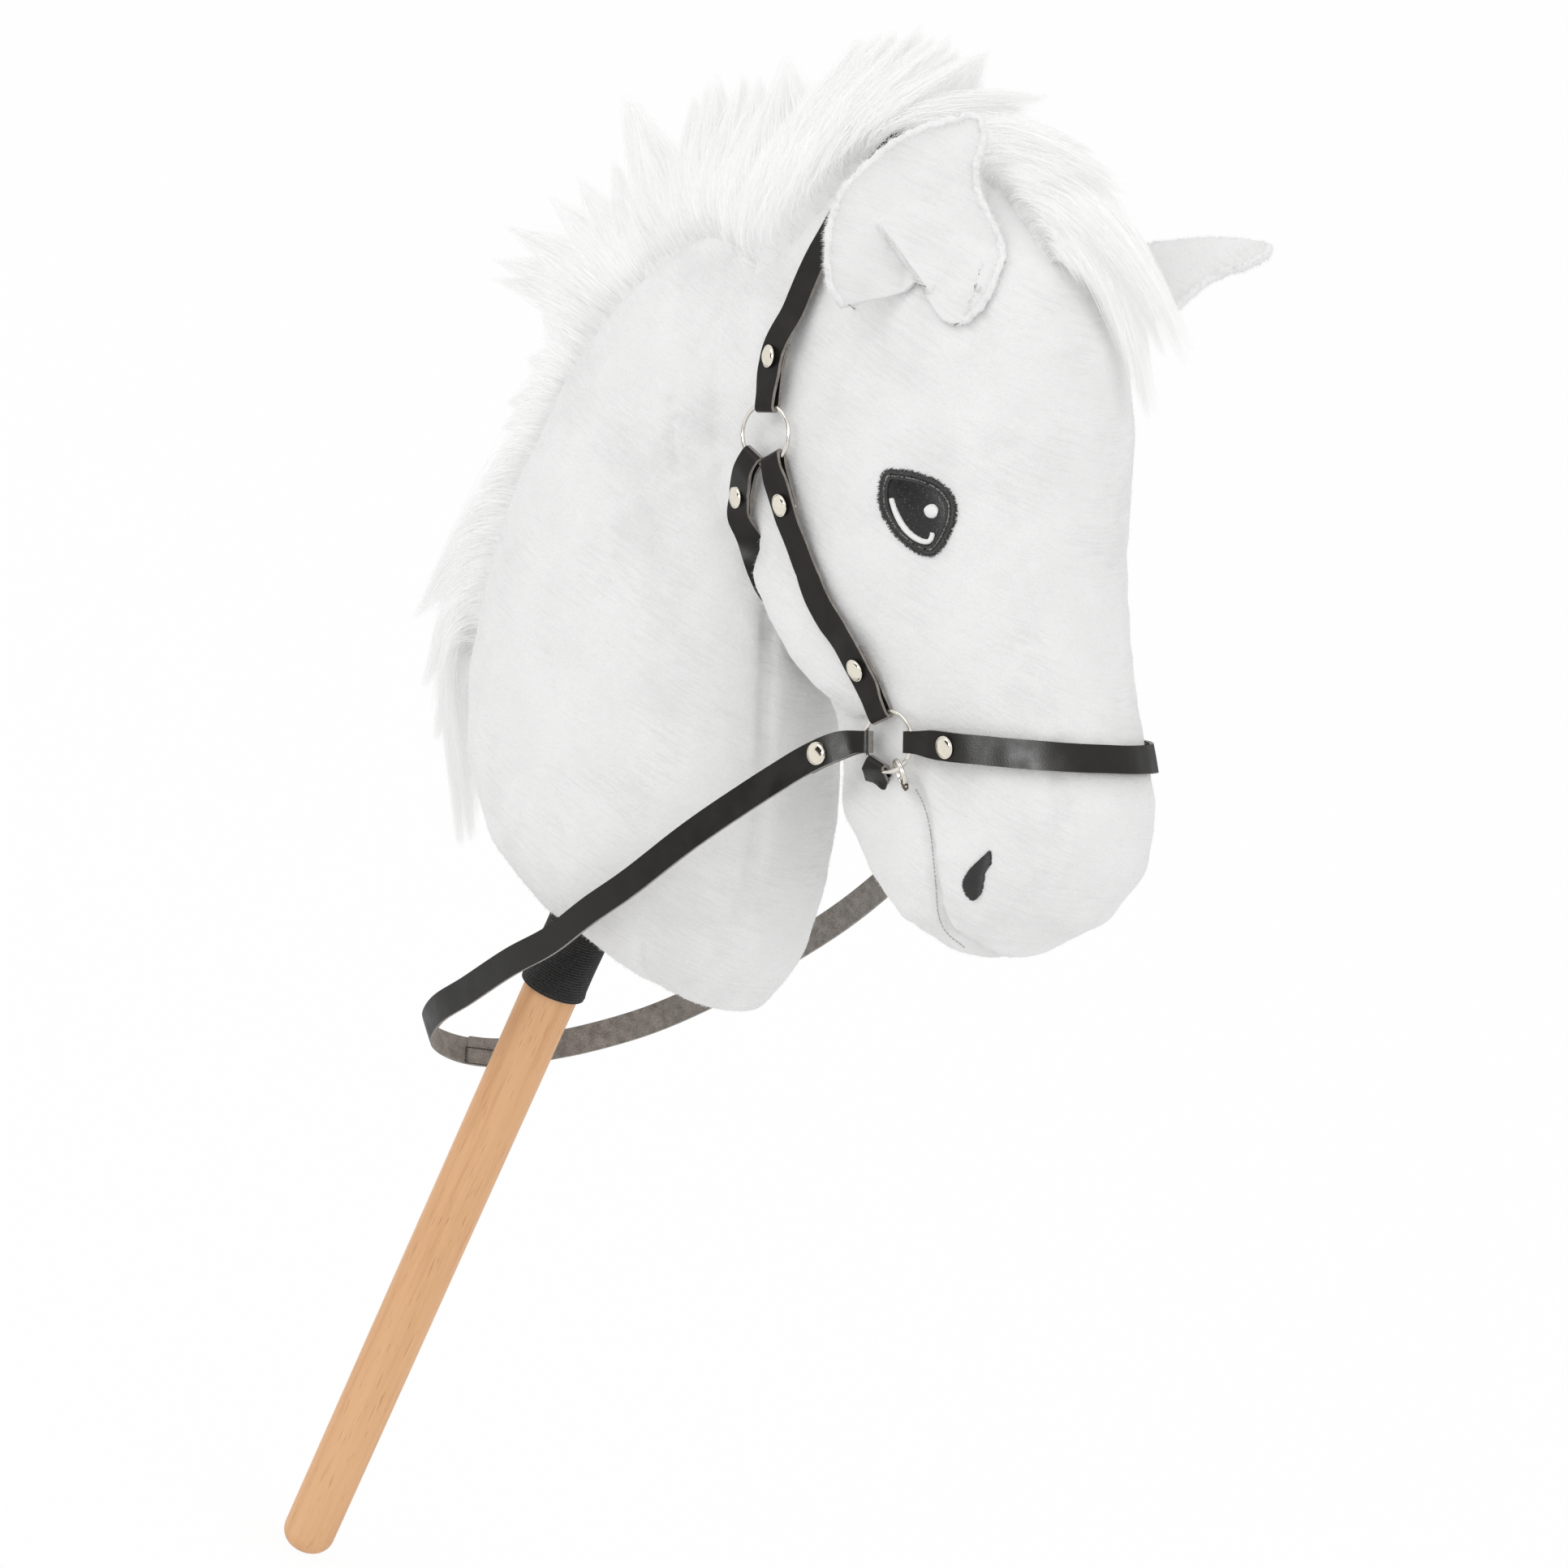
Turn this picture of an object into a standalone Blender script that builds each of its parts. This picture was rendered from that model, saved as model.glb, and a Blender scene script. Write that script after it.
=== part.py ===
"""A plush hobby horse: a stuffed head and neck on a wooden stick, with mane, halter and looped rein.

Metres, +Z up. The origin is the centre of the stick's foot and +X is the way the horse faces.
Head pieces are modelled upright in the head frame, which stands on the cuff's lower end and leans
back to the stick: +X forward, +Y to the horse's left, +Z up the face.
"""

import math

import bmesh
import bpy
from mathutils import Matrix, Vector
from mathutils.bvhtree import BVHTree

OBJECT_NAME = "hobby_horse"
GAP = 0.0003

# Stick, socket tube and cuff
STICK_DIAMETER = 0.024
STICK_FOOT_DIAMETER = 0.0225
STICK_SHOWN = 0.282
STICK_IN_HEAD = 0.195
FOOT_ROUNDING = 0.0075
STICK_TOP_CHAMFER = 0.0015
STICK_SIDES = 24
SLIDE_CLEARANCE = 0.0004
TUBE_WALL = 0.002
TUBE_START = 0.040
CAP_THICKNESS = 0.005
CUFF_WALL = 0.0015
CUFF_HEM = 0.004
CUFF_HEM_PROUD = 0.0004
CUFF_ON_TUBE = 0.018
HEAD_TILT = math.radians(30.5)

# Head and neck forms: rear and front of each level in side view, then its half width
NECK_LEVELS = (
    ((0.030, 0.022), (0.108, -0.011), 0.028),
    ((0.006, 0.036), (0.127, 0.010), 0.043),
    ((-0.022, 0.064), (0.140, 0.042), 0.051),
    ((-0.036, 0.098), (0.147, 0.076), 0.0545),
    ((-0.035, 0.138), (0.149, 0.112), 0.055),
    ((-0.023, 0.180), (0.150, 0.150), 0.054),
    ((-0.004, 0.222), (0.152, 0.190), 0.052),
    ((0.024, 0.266), (0.157, 0.234), 0.049),
    ((0.058, 0.302), (0.166, 0.276), 0.044),
    ((0.105, 0.328), (0.182, 0.306), 0.034),
)
HEAD_LEVELS = (
    ((0.226, 0.016), (0.272, 0.019), 0.020),
    ((0.204, 0.028), (0.293, 0.029), 0.036),
    ((0.186, 0.050), (0.311, 0.050), 0.045),
    ((0.176, 0.075), (0.317, 0.075), 0.047),
    ((0.172, 0.098), (0.312, 0.097), 0.0465),
    ((0.166, 0.122), (0.306, 0.119), 0.048),
    ((0.150, 0.150), (0.302, 0.146), 0.0515),
    ((0.130, 0.177), (0.300, 0.173), 0.056),
    ((0.112, 0.207), (0.302, 0.202), 0.059),
    ((0.104, 0.238), (0.305, 0.232), 0.0595),
    ((0.102, 0.270), (0.303, 0.264), 0.057),
    ((0.109, 0.303), (0.291, 0.300), 0.051),
    ((0.126, 0.332), (0.264, 0.334), 0.041),
    ((0.152, 0.350), (0.228, 0.354), 0.026),
)
FORM_SQUARENESS = 2.35
END_BULGE = 0.25
FORM_SIDES = 24
SKIN_THICKNESS = 0.0025
SEAM_GAP = 0.0004

# Half widths of the sewn strips, each with the height in the head frame where it holds
FACE_STRIP = ((-0.02, 0.029), (0.058, 0.0295), (0.109, 0.0285), (0.144, 0.031),
              (0.178, 0.0365), (0.227, 0.044), (0.272, 0.044), (0.320, 0.030), (0.38, 0.018))
CHEST_HALF_WIDTH = 0.025
CHEST_STRIP_BACK = 0.075
CHEST_STRIP_TOP = 0.200
JAW_HALF_WIDTH = 0.022
JAW_STRIP_BACK = 0.080
JAW_STRIP_TOP = 0.160
LIP_SEAM_FROM_BIT = 0.028

# Halter straps, rings and rivets
STRAP_WIDTH = 0.012
STRAP_END_WIDTH = 0.009
STRAP_END_REACH = 0.016
STRAP_FULL_REACH = 0.024
STRAP_THICKNESS = 0.0016
STRAP_REST = 0.0014
STRAP_STEP = 0.0058
FOLD_CLEARANCE = 0.0004
LAYER_GAP = 0.0003
RING_RADIUS = 0.0125
RING_WIRE_RADIUS = 0.001
RING_STANDOFF = 0.0043
RING_SIDES = 24
WIRE_SIDES = 6
RIVET_SIDES = 10
RIVET_FROM_RING = 0.032
FOLD_END = 0.040
RIVET_CAP_RADIUS = 0.0047
RIVET_CAP_HEIGHT = 0.0014
RIVET_SHANK_RADIUS = 0.0015
RIVET_FIT = 0.0003
TOP_RING_AT = (0.1698, 0.2315)
BIT_RING_AT = (0.2267, 0.1042)
TOP_ANGLES = {"crown": 90.0, "throat": 234.0, "cheek": 294.0}
BIT_ANGLES = {"cheek": 110.0, "rein": 181.0, "chin": 239.5, "link": 300.0, "nose": 358.0}
CHEEK_STRAP_BOW = 0.007
STRAP_EVENING = 4

# Where each round strap leaves the skin beside its ring, and the middle place that it passes
# over, both as steps from the ring in side view
CROWN_FROM_RING = (-0.0008, 0.0305)
CROWN_OVER = (0.0352, 0.1255)
THROAT_FROM_RING = (-0.0188, -0.0285)
THROAT_UNDER = (-0.0108, -0.1165)
NOSE_FROM_RING = (0.0283, -0.0017)
NOSE_OVER = (0.0843, -0.0082)
CHIN_FROM_RING = (-0.0187, -0.0242)
CHIN_UNDER = (-0.0497, -0.0282)
LINK_RADIUS = 0.0058
LINK_WIRE_RADIUS = 0.00065

# The rein's route from the right bit ring round behind the stick to the left bit ring
REIN_ROUTE = (
    (0.2000, -0.0560, 0.1010), (0.1830, -0.0600, 0.0930), (0.1600, -0.0635, 0.0805),
    (0.1316, -0.0660, 0.0645), (0.0985, -0.0645, 0.0455), (0.0720, -0.0600, 0.0335),
    (0.0450, -0.0530, 0.0210), (0.0149, -0.0445, 0.0115), (-0.0210, -0.0310, -0.0010),
    (-0.0500, -0.0180, -0.0100), (-0.0700, 0.0000, -0.0200), (-0.0690, 0.0200, -0.0275),
    (-0.0560, 0.0370, -0.0290), (-0.0330, 0.0520, -0.0240), (-0.0020, 0.0640, -0.0150),
    (0.0300, 0.0715, -0.0020), (0.0640, 0.0755, 0.0140), (0.1000, 0.0755, 0.0320),
    (0.1350, 0.0720, 0.0530), (0.1660, 0.0660, 0.0740), (0.1880, 0.0600, 0.0920),
    (0.2000, 0.0560, 0.1010),
)

# Ears: the leaf's half widths on its outer and inner edge by the share of its length
EAR_LENGTH = 0.081
EAR_SHAPE = (
    (-0.12, 0.021, 0.022), (0.0, 0.032, 0.028), (0.14, 0.037, 0.0345), (0.33, 0.038, 0.034),
    (0.48, 0.0345, 0.027), (0.64, 0.028, 0.0155), (0.82, 0.017, 0.0090), (1.0, 0.0055, 0.0045),
)
EAR_THICKNESS = 0.0025
EAR_CUP = 0.012
LINING_THICKNESS = 0.0012
LINING_MARGIN = 0.0035

# Mane and forelock: the crest runs between these angles round the crest's middle
CREST_MIDDLE = Vector((0.105, 0.0, 0.205))
MANE_FROM = 204.0
MANE_TO = 64.0
MANE_HEIGHT = 0.034
MANE_HALF_WIDTH = 0.019
MANE_LOCKS = 15
LOCK_CLEARANCE = 0.001
FORELOCK_FROM = 54.0
FORELOCK_TO = 27.0
FORELOCK_HEIGHT = 0.016
FORELOCK_LOCKS = 6


def new_collection(name, hidden=False):
    collection = bpy.data.collections.new(name)
    bpy.context.scene.collection.children.link(collection)
    collection.hide_render = hidden
    return collection


def clear_scene():
    for obj in list(bpy.data.objects):
        bpy.data.objects.remove(obj, do_unlink=True)


clear_scene()
PARTS = new_collection(OBJECT_NAME)
CUTTERS = new_collection("cutters", hidden=True)


def material(name, colour, roughness, metallic=0.0, sheen=0.0):
    made = bpy.data.materials.new(name)
    made.use_nodes = True
    shader = made.node_tree.nodes["Principled BSDF"]
    shader.inputs["Base Color"].default_value = (*colour, 1.0)
    shader.inputs["Roughness"].default_value = roughness
    shader.inputs["Metallic"].default_value = metallic
    shader.inputs["Sheen Weight"].default_value = sheen
    made.diffuse_color = (*colour, 1.0)
    return made


PLUSH = material("white_plush", (0.86, 0.86, 0.85), 0.95, sheen=0.4)
PILE = material("white_long_pile", (0.92, 0.92, 0.91), 0.9, sheen=0.5)
LINING = material("white_lining", (0.88, 0.88, 0.87), 0.85, sheen=0.2)
FILLING = material("polyester_filling", (0.90, 0.90, 0.88), 1.0)
WOOD = material("beech_wood", (0.72, 0.47, 0.26), 0.5)
CUFF = material("black_elastic", (0.012, 0.012, 0.011), 0.8)
PLASTIC = material("grey_plastic", (0.35, 0.35, 0.35), 0.45)
LEATHER = material("black_leather", (0.020, 0.017, 0.014), 0.4)
NICKEL = material("nickel", (0.75, 0.72, 0.66), 0.2, metallic=1.0)
EYE_BLACK = material("black_leatherette", (0.008, 0.008, 0.009), 0.25)
BLACK_THREAD = material("black_thread", (0.015, 0.013, 0.012), 0.6)
WHITE_THREAD = material("white_thread", (0.9, 0.9, 0.9), 0.6)


# Frames


def head_frame():
    """The empty that carries everything sewn or buckled to the head."""
    frame = bpy.data.objects.new("head_frame", None)
    frame.location = (0.0, 0.0, STICK_SHOWN)
    frame.rotation_euler = (0.0, -HEAD_TILT, 0.0)
    PARTS.objects.link(frame)
    return frame


HEAD_FRAME = head_frame()
STICK_IN_HEAD_FRAME = Matrix.Rotation(HEAD_TILT, 4, "Y")


def add_object(name, mesh, finish, parent=HEAD_FRAME):
    obj = bpy.data.objects.new(name, mesh)
    PARTS.objects.link(obj)
    obj.parent = parent
    mesh.materials.clear()
    mesh.materials.append(finish)
    return obj


def cutter(name, mesh):
    obj = bpy.data.objects.new(name, mesh)
    CUTTERS.objects.link(obj)
    obj.hide_render = True
    obj.display_type = "WIRE"
    return obj


def mesh_of(name, work, smooth=True):
    """A new mesh from bmesh work, faces turned out."""
    bmesh.ops.recalc_face_normals(work, faces=work.faces)
    mesh = bpy.data.meshes.new(name)
    work.to_mesh(mesh)
    work.free()
    if smooth:
        mesh.shade_smooth()
        mesh.set_sharp_from_angle(angle=math.radians(40.0))
    return mesh


def evaluated_mesh(obj):
    bpy.context.view_layer.update()
    graph = bpy.context.evaluated_depsgraph_get()
    return bpy.data.meshes.new_from_object(obj.evaluated_get(graph), depsgraph=graph)


def boolean(mesh, others, operation="DIFFERENCE", name="cut", solver="EXACT"):
    """The mesh after a Boolean with each of the others in turn, all in one frame."""
    body = cutter(name, mesh)
    helpers = [body]
    for index, other in enumerate(others):
        tool = cutter(f"{name}_tool_{index}", other)
        helpers.append(tool)
        step = body.modifiers.new("cut", "BOOLEAN")
        step.operation = operation
        step.solver = solver
        step.object = tool
    result = evaluated_mesh(body)
    for helper in helpers:
        bpy.data.objects.remove(helper, do_unlink=True)
    result.name = name
    return result


def mirrored(mesh, name):
    """The same piece for the other side of the horse."""
    work = bmesh.new()
    work.from_mesh(mesh)
    bmesh.ops.scale(work, vec=(1.0, -1.0, 1.0), verts=work.verts)
    bmesh.ops.reverse_faces(work, faces=work.faces)
    made = bpy.data.meshes.new(name)
    work.to_mesh(made)
    work.free()
    made.shade_smooth()
    made.set_sharp_from_angle(angle=math.radians(40.0))
    return made


def moved(mesh, matrix):
    mesh.transform(matrix)
    return mesh


# Turned pieces on the stick's axis


def turned(name, profile, sides=STICK_SIDES):
    """A mesh turned about Z from (radius, height) points that run top to bottom on the outside."""
    work = bmesh.new()
    points = [work.verts.new((radius, 0.0, height)) for radius, height in profile]
    closed = profile[0][0] > 0.0 or profile[-1][0] > 0.0
    for first, second in zip(points, points[1:]):
        work.edges.new((first, second))
    if closed:
        work.edges.new((points[-1], points[0]))
    mesh = bpy.data.meshes.new(name)
    work.to_mesh(mesh)
    work.free()
    guide = cutter(name + "_profile", mesh)
    screw = guide.modifiers.new("turn", "SCREW")
    screw.steps = sides
    screw.render_steps = sides
    screw.use_merge_vertices = True
    screw.merge_threshold = 0.00001
    result = evaluated_mesh(guide)
    bpy.data.objects.remove(guide, do_unlink=True)
    result.name = name
    result.shade_smooth()
    result.set_sharp_from_angle(angle=math.radians(40.0))
    return result


def stick_mesh():
    top = STICK_SHOWN + STICK_IN_HEAD
    radius = STICK_DIAMETER / 2
    foot = STICK_FOOT_DIAMETER / 2
    profile = [(0.0, top), (radius - STICK_TOP_CHAMFER, top), (radius, top - STICK_TOP_CHAMFER)]
    profile.append((radius, STICK_SHOWN - CUFF_WALL))
    rounding_steps = 5
    for step in range(rounding_steps + 1):
        angle = math.pi / 2 * step / rounding_steps
        profile.append((
            foot - FOOT_ROUNDING * (1.0 - math.cos(angle)),
            FOOT_ROUNDING * (1.0 - math.sin(angle)),
        ))
    profile.append((0.0, 0.0))
    return turned("stick", profile)


TUBE_INNER = STICK_DIAMETER / 2 + SLIDE_CLEARANCE
TUBE_OUTER = TUBE_INNER + TUBE_WALL
CUFF_INNER = STICK_DIAMETER / 2 + GAP
CUFF_OUTER = CUFF_INNER + CUFF_WALL
CUFF_TUBE_INNER = TUBE_OUTER + GAP
CUFF_TUBE_OUTER = CUFF_TUBE_INNER + CUFF_WALL
CUFF_TOP = TUBE_START + CUFF_ON_TUBE
TUBE_TOP = STICK_IN_HEAD + GAP
FAR_BELOW = 0.05


def tube_mesh():
    profile = [
        (TUBE_INNER, TUBE_TOP),
        (TUBE_OUTER, TUBE_TOP),
        (TUBE_OUTER, TUBE_START),
        (TUBE_INNER, TUBE_START),
    ]
    return turned("socket_tube", profile)


def cap_mesh():
    """The end stop: a disc on the tube's rim."""
    bottom = TUBE_TOP + GAP
    profile = [
        (0.0, bottom + CAP_THICKNESS),
        (TUBE_OUTER - CAP_THICKNESS / 3, bottom + CAP_THICKNESS),
        (TUBE_OUTER, bottom + CAP_THICKNESS * 2 / 3),
        (TUBE_OUTER, bottom),
        (0.0, bottom),
    ]
    return turned("socket_cap", profile)


def cuff_mesh():
    """The elastic cuff: on the stick below, stretched over the tube's lower end above."""
    shoulder = TUBE_START - GAP - CUFF_WALL
    hem = CUFF_OUTER + CUFF_HEM_PROUD
    profile = [
        (CUFF_TUBE_INNER, CUFF_TOP),
        (CUFF_TUBE_OUTER, CUFF_TOP),
        (CUFF_TUBE_OUTER, TUBE_START),
        (CUFF_OUTER, shoulder - CUFF_WALL),
        (CUFF_OUTER, CUFF_HEM),
        (hem, CUFF_HEM * 0.75),
        (hem, CUFF_HEM * 0.25),
        (CUFF_OUTER, 0.0),
        (CUFF_INNER, 0.0),
        (CUFF_INNER, shoulder),
        (CUFF_TUBE_INNER, shoulder + CUFF_WALL),
    ]
    return turned("neck_cuff", profile)


def bore_mesh():
    """The room that the cuff, tube and cap take out of the filling and the neck panels."""
    clearance = 2 * GAP
    cuff_room = CUFF_OUTER + CUFF_HEM_PROUD + clearance
    tube_room = CUFF_TUBE_OUTER + clearance
    top = TUBE_TOP + GAP + CAP_THICKNESS + clearance
    throat = TUBE_START - 3 * CUFF_WALL
    profile = [(0.0, top), (tube_room, top), (tube_room, throat), (cuff_room, throat - CUFF_WALL)]
    profile += [(cuff_room, -FAR_BELOW), (0.0, -FAR_BELOW)]
    return moved(turned("bore", profile), STICK_IN_HEAD_FRAME)


# Head and neck forms


def level_ring(rear, front, half_width, sides=FORM_SIDES):
    """One rounded level: its long way from rear to front in side view, its width along Y."""
    rear = Vector((rear[0], 0.0, rear[1]))
    front = Vector((front[0], 0.0, front[1]))
    centre = (rear + front) / 2
    reach = (front - rear) / 2
    power = 2.0 / FORM_SQUARENESS
    ring = []
    for index in range(sides):
        angle = 2 * math.pi * index / sides
        along = math.copysign(abs(math.cos(angle)) ** power, math.cos(angle))
        across = math.copysign(abs(math.sin(angle)) ** power, math.sin(angle))
        ring.append(centre + reach * along + Vector((0.0, half_width * across, 0.0)))
    return ring


def cap_centre(ring, last_ring):
    """A point past the end ring, so that the end is domed."""
    centre = sum(ring, Vector()) / len(ring)
    previous = sum(last_ring, Vector()) / len(last_ring)
    reach = (ring[0] - centre).length
    return centre + (centre - previous).normalized() * reach * END_BULGE


def loft(name, rings, ends):
    """A closed skin through rings of equal count, with a fan to a point at each end.

    The triangles of the two halves mirror each other.
    """
    work = bmesh.new()
    rows = [[work.verts.new(point) for point in ring] for ring in rings]
    count = len(rows[0])
    for lower, upper in zip(rows, rows[1:]):
        for index in range(count):
            following = (index + 1) % count
            a, b, c, d = lower[index], lower[following], upper[following], upper[index]
            if index < count / 2:
                work.faces.new((a, b, c))
                work.faces.new((a, c, d))
            else:
                work.faces.new((a, b, d))
                work.faces.new((b, c, d))
    for row, end in ((rows[0], ends[0]), (rows[-1], ends[1])):
        tip = work.verts.new(end)
        for index in range(count):
            work.faces.new((row[index], row[(index + 1) % count], tip))
    return mesh_of(name, work)


def form(name, levels, sides=FORM_SIDES):
    rings = [level_ring(*level, sides=sides) for level in levels]
    ends = (cap_centre(rings[0], rings[1]), cap_centre(rings[-1], rings[-2]))
    return loft(name, rings, ends)


def offset(mesh, distance, name):
    """A copy with every point moved out along its normal."""
    work = bmesh.new()
    work.from_mesh(mesh)
    work.normal_update()
    places = [vertex.co + vertex.normal * distance for vertex in work.verts]
    for vertex, place in zip(work.verts, places):
        vertex.co = place
    return mesh_of(name, work)


NECK_FORM = form("neck_form", NECK_LEVELS)
HEAD_FORM = form("head_form", HEAD_LEVELS)


def tree_of(mesh):
    work = bmesh.new()
    work.from_mesh(mesh)
    tree = BVHTree.FromBMesh(work)
    work.free()
    return tree


SKINS = (tree_of(HEAD_FORM), tree_of(NECK_FORM))
HEAD_SKIN = SKINS[:1]


def outermost(origin, direction, skins=SKINS):
    """Where a ray from inside leaves the form for good, with the normal there."""
    reach = 0.5
    best = None
    for tree in skins:
        place, normal, _, distance = tree.ray_cast(origin + direction * reach, -direction)
        if place and distance < reach and (best is None or distance < best[2]):
            best = (place, normal, distance)
    if best is None:
        place, normal, _, _ = skins[0].find_nearest(origin)
        return place, normal
    return best[0], best[1]


def depth_outside(point, skins=SKINS):
    """How far a point stands out of the head and neck forms. It is negative inside."""
    depths = []
    for tree in skins:
        place, normal, _, distance = tree.find_nearest(point)
        depths.append(math.copysign(distance, (point - place).dot(normal)))
    return min(depths)


# Sewn panels


def strip_half_width(height):
    table = FACE_STRIP
    for (low, first), (high, second) in zip(table, table[1:]):
        if height <= high:
            share = min(max((height - low) / (high - low), 0.0), 1.0)
            return first + (second - first) * share
    return table[-1][1]


def prism(name, outline, thickness_axis, start, end):
    """A straight-sided cutter: an outline in the YZ or XZ plane pushed from start to end."""
    rings = []
    for place in (start, end):
        if thickness_axis == "X":
            rings.append([Vector((place, y, z)) for y, z in outline])
        else:
            rings.append([Vector((x, place, z)) for x, z in outline])
    work = bmesh.new()
    rows = [[work.verts.new(point) for point in ring] for ring in rings]
    count = len(outline)
    for index in range(count):
        following = (index + 1) % count
        work.faces.new((rows[0][index], rows[0][following], rows[1][following], rows[1][index]))
    work.faces.new(rows[0])
    work.faces.new(rows[1])
    return mesh_of(name, work, smooth=False)


FAR_AWAY = 0.5
LIP_SEAM_X = BIT_RING_AT[0] + LIP_SEAM_FROM_BIT


def face_strip_cutter(grow):
    """The face strip's outline seen from the front, pushed back to the middle of the head."""
    lowest, highest = FACE_STRIP[0][0], FACE_STRIP[-1][0]
    steps = 20
    heights = [lowest + (highest - lowest) * step / steps for step in range(steps + 1)]
    right = [(-strip_half_width(height) - grow, height) for height in heights]
    left = [(strip_half_width(height) + grow, height) for height in reversed(heights)]
    back = LIP_SEAM_X - grow
    return prism("face_strip_cutter", right + left, "X", back, FAR_AWAY)


def jaw_strip_cutter(grow):
    """The strip under the jaw, from the mouth back to the throat."""
    half = JAW_HALF_WIDTH + grow
    front = LIP_SEAM_X - SEAM_GAP + grow
    top = JAW_STRIP_TOP + grow
    outline = [(-half, -FAR_BELOW), (half, -FAR_BELOW), (half, top), (-half, top)]
    return prism("jaw_strip_cutter", outline, "X", JAW_STRIP_BACK, front)


def chest_strip_cutter(grow):
    half = CHEST_HALF_WIDTH + grow
    top = CHEST_STRIP_TOP + grow
    outline = [(-half, -FAR_BELOW), (half, -FAR_BELOW), (half, top), (-half, top)]
    return prism("chest_strip_cutter", outline, "X", CHEST_STRIP_BACK - grow, FAR_AWAY)


def side_cutter():
    """Everything on the horse's left of the middle plane, with half a seam."""
    reach = FAR_AWAY
    outline = [(-reach, -reach), (reach, -reach), (reach, reach), (-reach, reach)]
    return prism("side_cutter", outline, "Y", -SEAM_GAP / 2, reach)


def cut_shell(mesh, others, name, operation="DIFFERENCE"):
    """A Boolean on a hollow skin. Two nested skins need the manifold solver."""
    return boolean(mesh, others, operation, name, "MANIFOLD")


def hollow(form_mesh, name):
    return cut_shell(form_mesh.copy(), [offset(form_mesh, -SKIN_THICKNESS, "inside")], name)


def add_panels():
    """The head and neck skins, each cut into its sewn panels."""
    neck_inside = offset(NECK_FORM, -SKIN_THICKNESS, "neck_inside")
    head_shell = cut_shell(hollow(HEAD_FORM, "head_shell"), [neck_inside], "head_shell")
    face = cut_shell(head_shell.copy(), [face_strip_cutter(0.0)], "face_gusset", "INTERSECT")
    jaw = cut_shell(head_shell.copy(), [jaw_strip_cutter(0.0)], "jaw_gusset", "INTERSECT")
    rooms = [side_cutter(), face_strip_cutter(SEAM_GAP), jaw_strip_cutter(SEAM_GAP)]
    side = cut_shell(head_shell, rooms, "head_side_right")
    add_object("face_gusset", face, PLUSH)
    add_object("jaw_gusset", jaw, PLUSH)
    add_object("head_side_right", side, PLUSH)
    add_object("head_side_left", mirrored(side, "head_side_left"), PLUSH)

    rooms = [offset(HEAD_FORM, GAP, "head_room"), bore_mesh()]
    neck_shell = cut_shell(hollow(NECK_FORM, "neck_shell"), rooms, "neck_shell")
    chest = cut_shell(neck_shell.copy(), [chest_strip_cutter(0.0)], "chest_gusset", "INTERSECT")
    rooms = [side_cutter(), chest_strip_cutter(SEAM_GAP)]
    neck_side = cut_shell(neck_shell, rooms, "neck_side_right")
    add_object("chest_gusset", chest, PLUSH)
    add_object("neck_side_right", neck_side, PLUSH)
    add_object("neck_side_left", mirrored(neck_side, "neck_side_left"), PLUSH)


def add_fillings():
    inset = SKIN_THICKNESS + GAP
    rooms = [offset(HEAD_FORM, GAP, "head_room"), bore_mesh()]
    neck = cut_shell(offset(NECK_FORM, -inset, "neck_filling"), rooms, "neck_filling")
    add_object("neck_filling", neck, FILLING)
    add_object("head_filling", offset(HEAD_FORM, -inset, "head_filling"), FILLING)


# Straps


def ribbon(name, rows, thickness=STRAP_THICKNESS):
    """A strap as an open strip with Solidify. A row is a place, its normal, its way and its width."""
    work = bmesh.new()
    edges = []
    for place, normal, way, width in rows:
        across = normal.cross(way).normalized() * (width / 2)
        edges.append((work.verts.new(place - across), work.verts.new(place + across)))
    for (a, b), (c, d) in zip(edges, edges[1:]):
        work.faces.new((a, b, d, c))
    mesh = bpy.data.meshes.new(name)
    work.to_mesh(mesh)
    work.free()
    strip = cutter(name + "_strip", mesh)
    solid = strip.modifiers.new("thickness", "SOLIDIFY")
    solid.thickness = thickness
    solid.offset = 0.0
    solid.use_even_offset = True
    result = evaluated_mesh(strip)
    bpy.data.objects.remove(strip, do_unlink=True)
    work = bmesh.new()
    work.from_mesh(result)
    bmesh.ops.triangulate(work, faces=work.faces)
    return mesh_of(name, work)


def curve_points(padded, per_span):
    """Points of a Catmull-Rom curve, whose first and last given points only steer it."""
    fine = []
    for a, b, c, d in zip(padded, padded[1:], padded[2:], padded[3:]):
        for index in range(per_span):
            t = index / per_span
            square = (2 * a - 5 * b + 4 * c - d) * t * t
            cube = (3 * b - a - 3 * c + d) * t ** 3
            fine.append(0.5 * (2 * b + (c - a) * t + square + cube))
    return fine


def steered(points):
    return [points[0] * 2 - points[1], *points, points[-1] * 2 - points[-2]]


def smooth_path(points, step):
    """Points a step apart along a smooth curve through the given ones."""
    fine = curve_points(steered(points), 12)
    fine.append(points[-1].copy())
    lengths = [0.0]
    for first, second in zip(fine, fine[1:]):
        lengths.append(lengths[-1] + (second - first).length)
    count = max(2, round(lengths[-1] / step))
    spaced = []
    index = 0
    for number in range(count + 1):
        target = lengths[-1] * number / count
        while index < len(fine) - 2 and lengths[index + 1] < target:
            index += 1
        span = lengths[index + 1] - lengths[index]
        share = (target - lengths[index]) / span if span > 0.0 else 0.0
        spaced.append(fine[index].lerp(fine[index + 1], min(max(share, 0.0), 1.0)))
    return spaced


def ways_of(points):
    ways = []
    for index in range(len(points)):
        before = points[max(index - 1, 0)]
        after = points[min(index + 1, len(points) - 1)]
        ways.append((after - before).normalized())
    return ways


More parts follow.
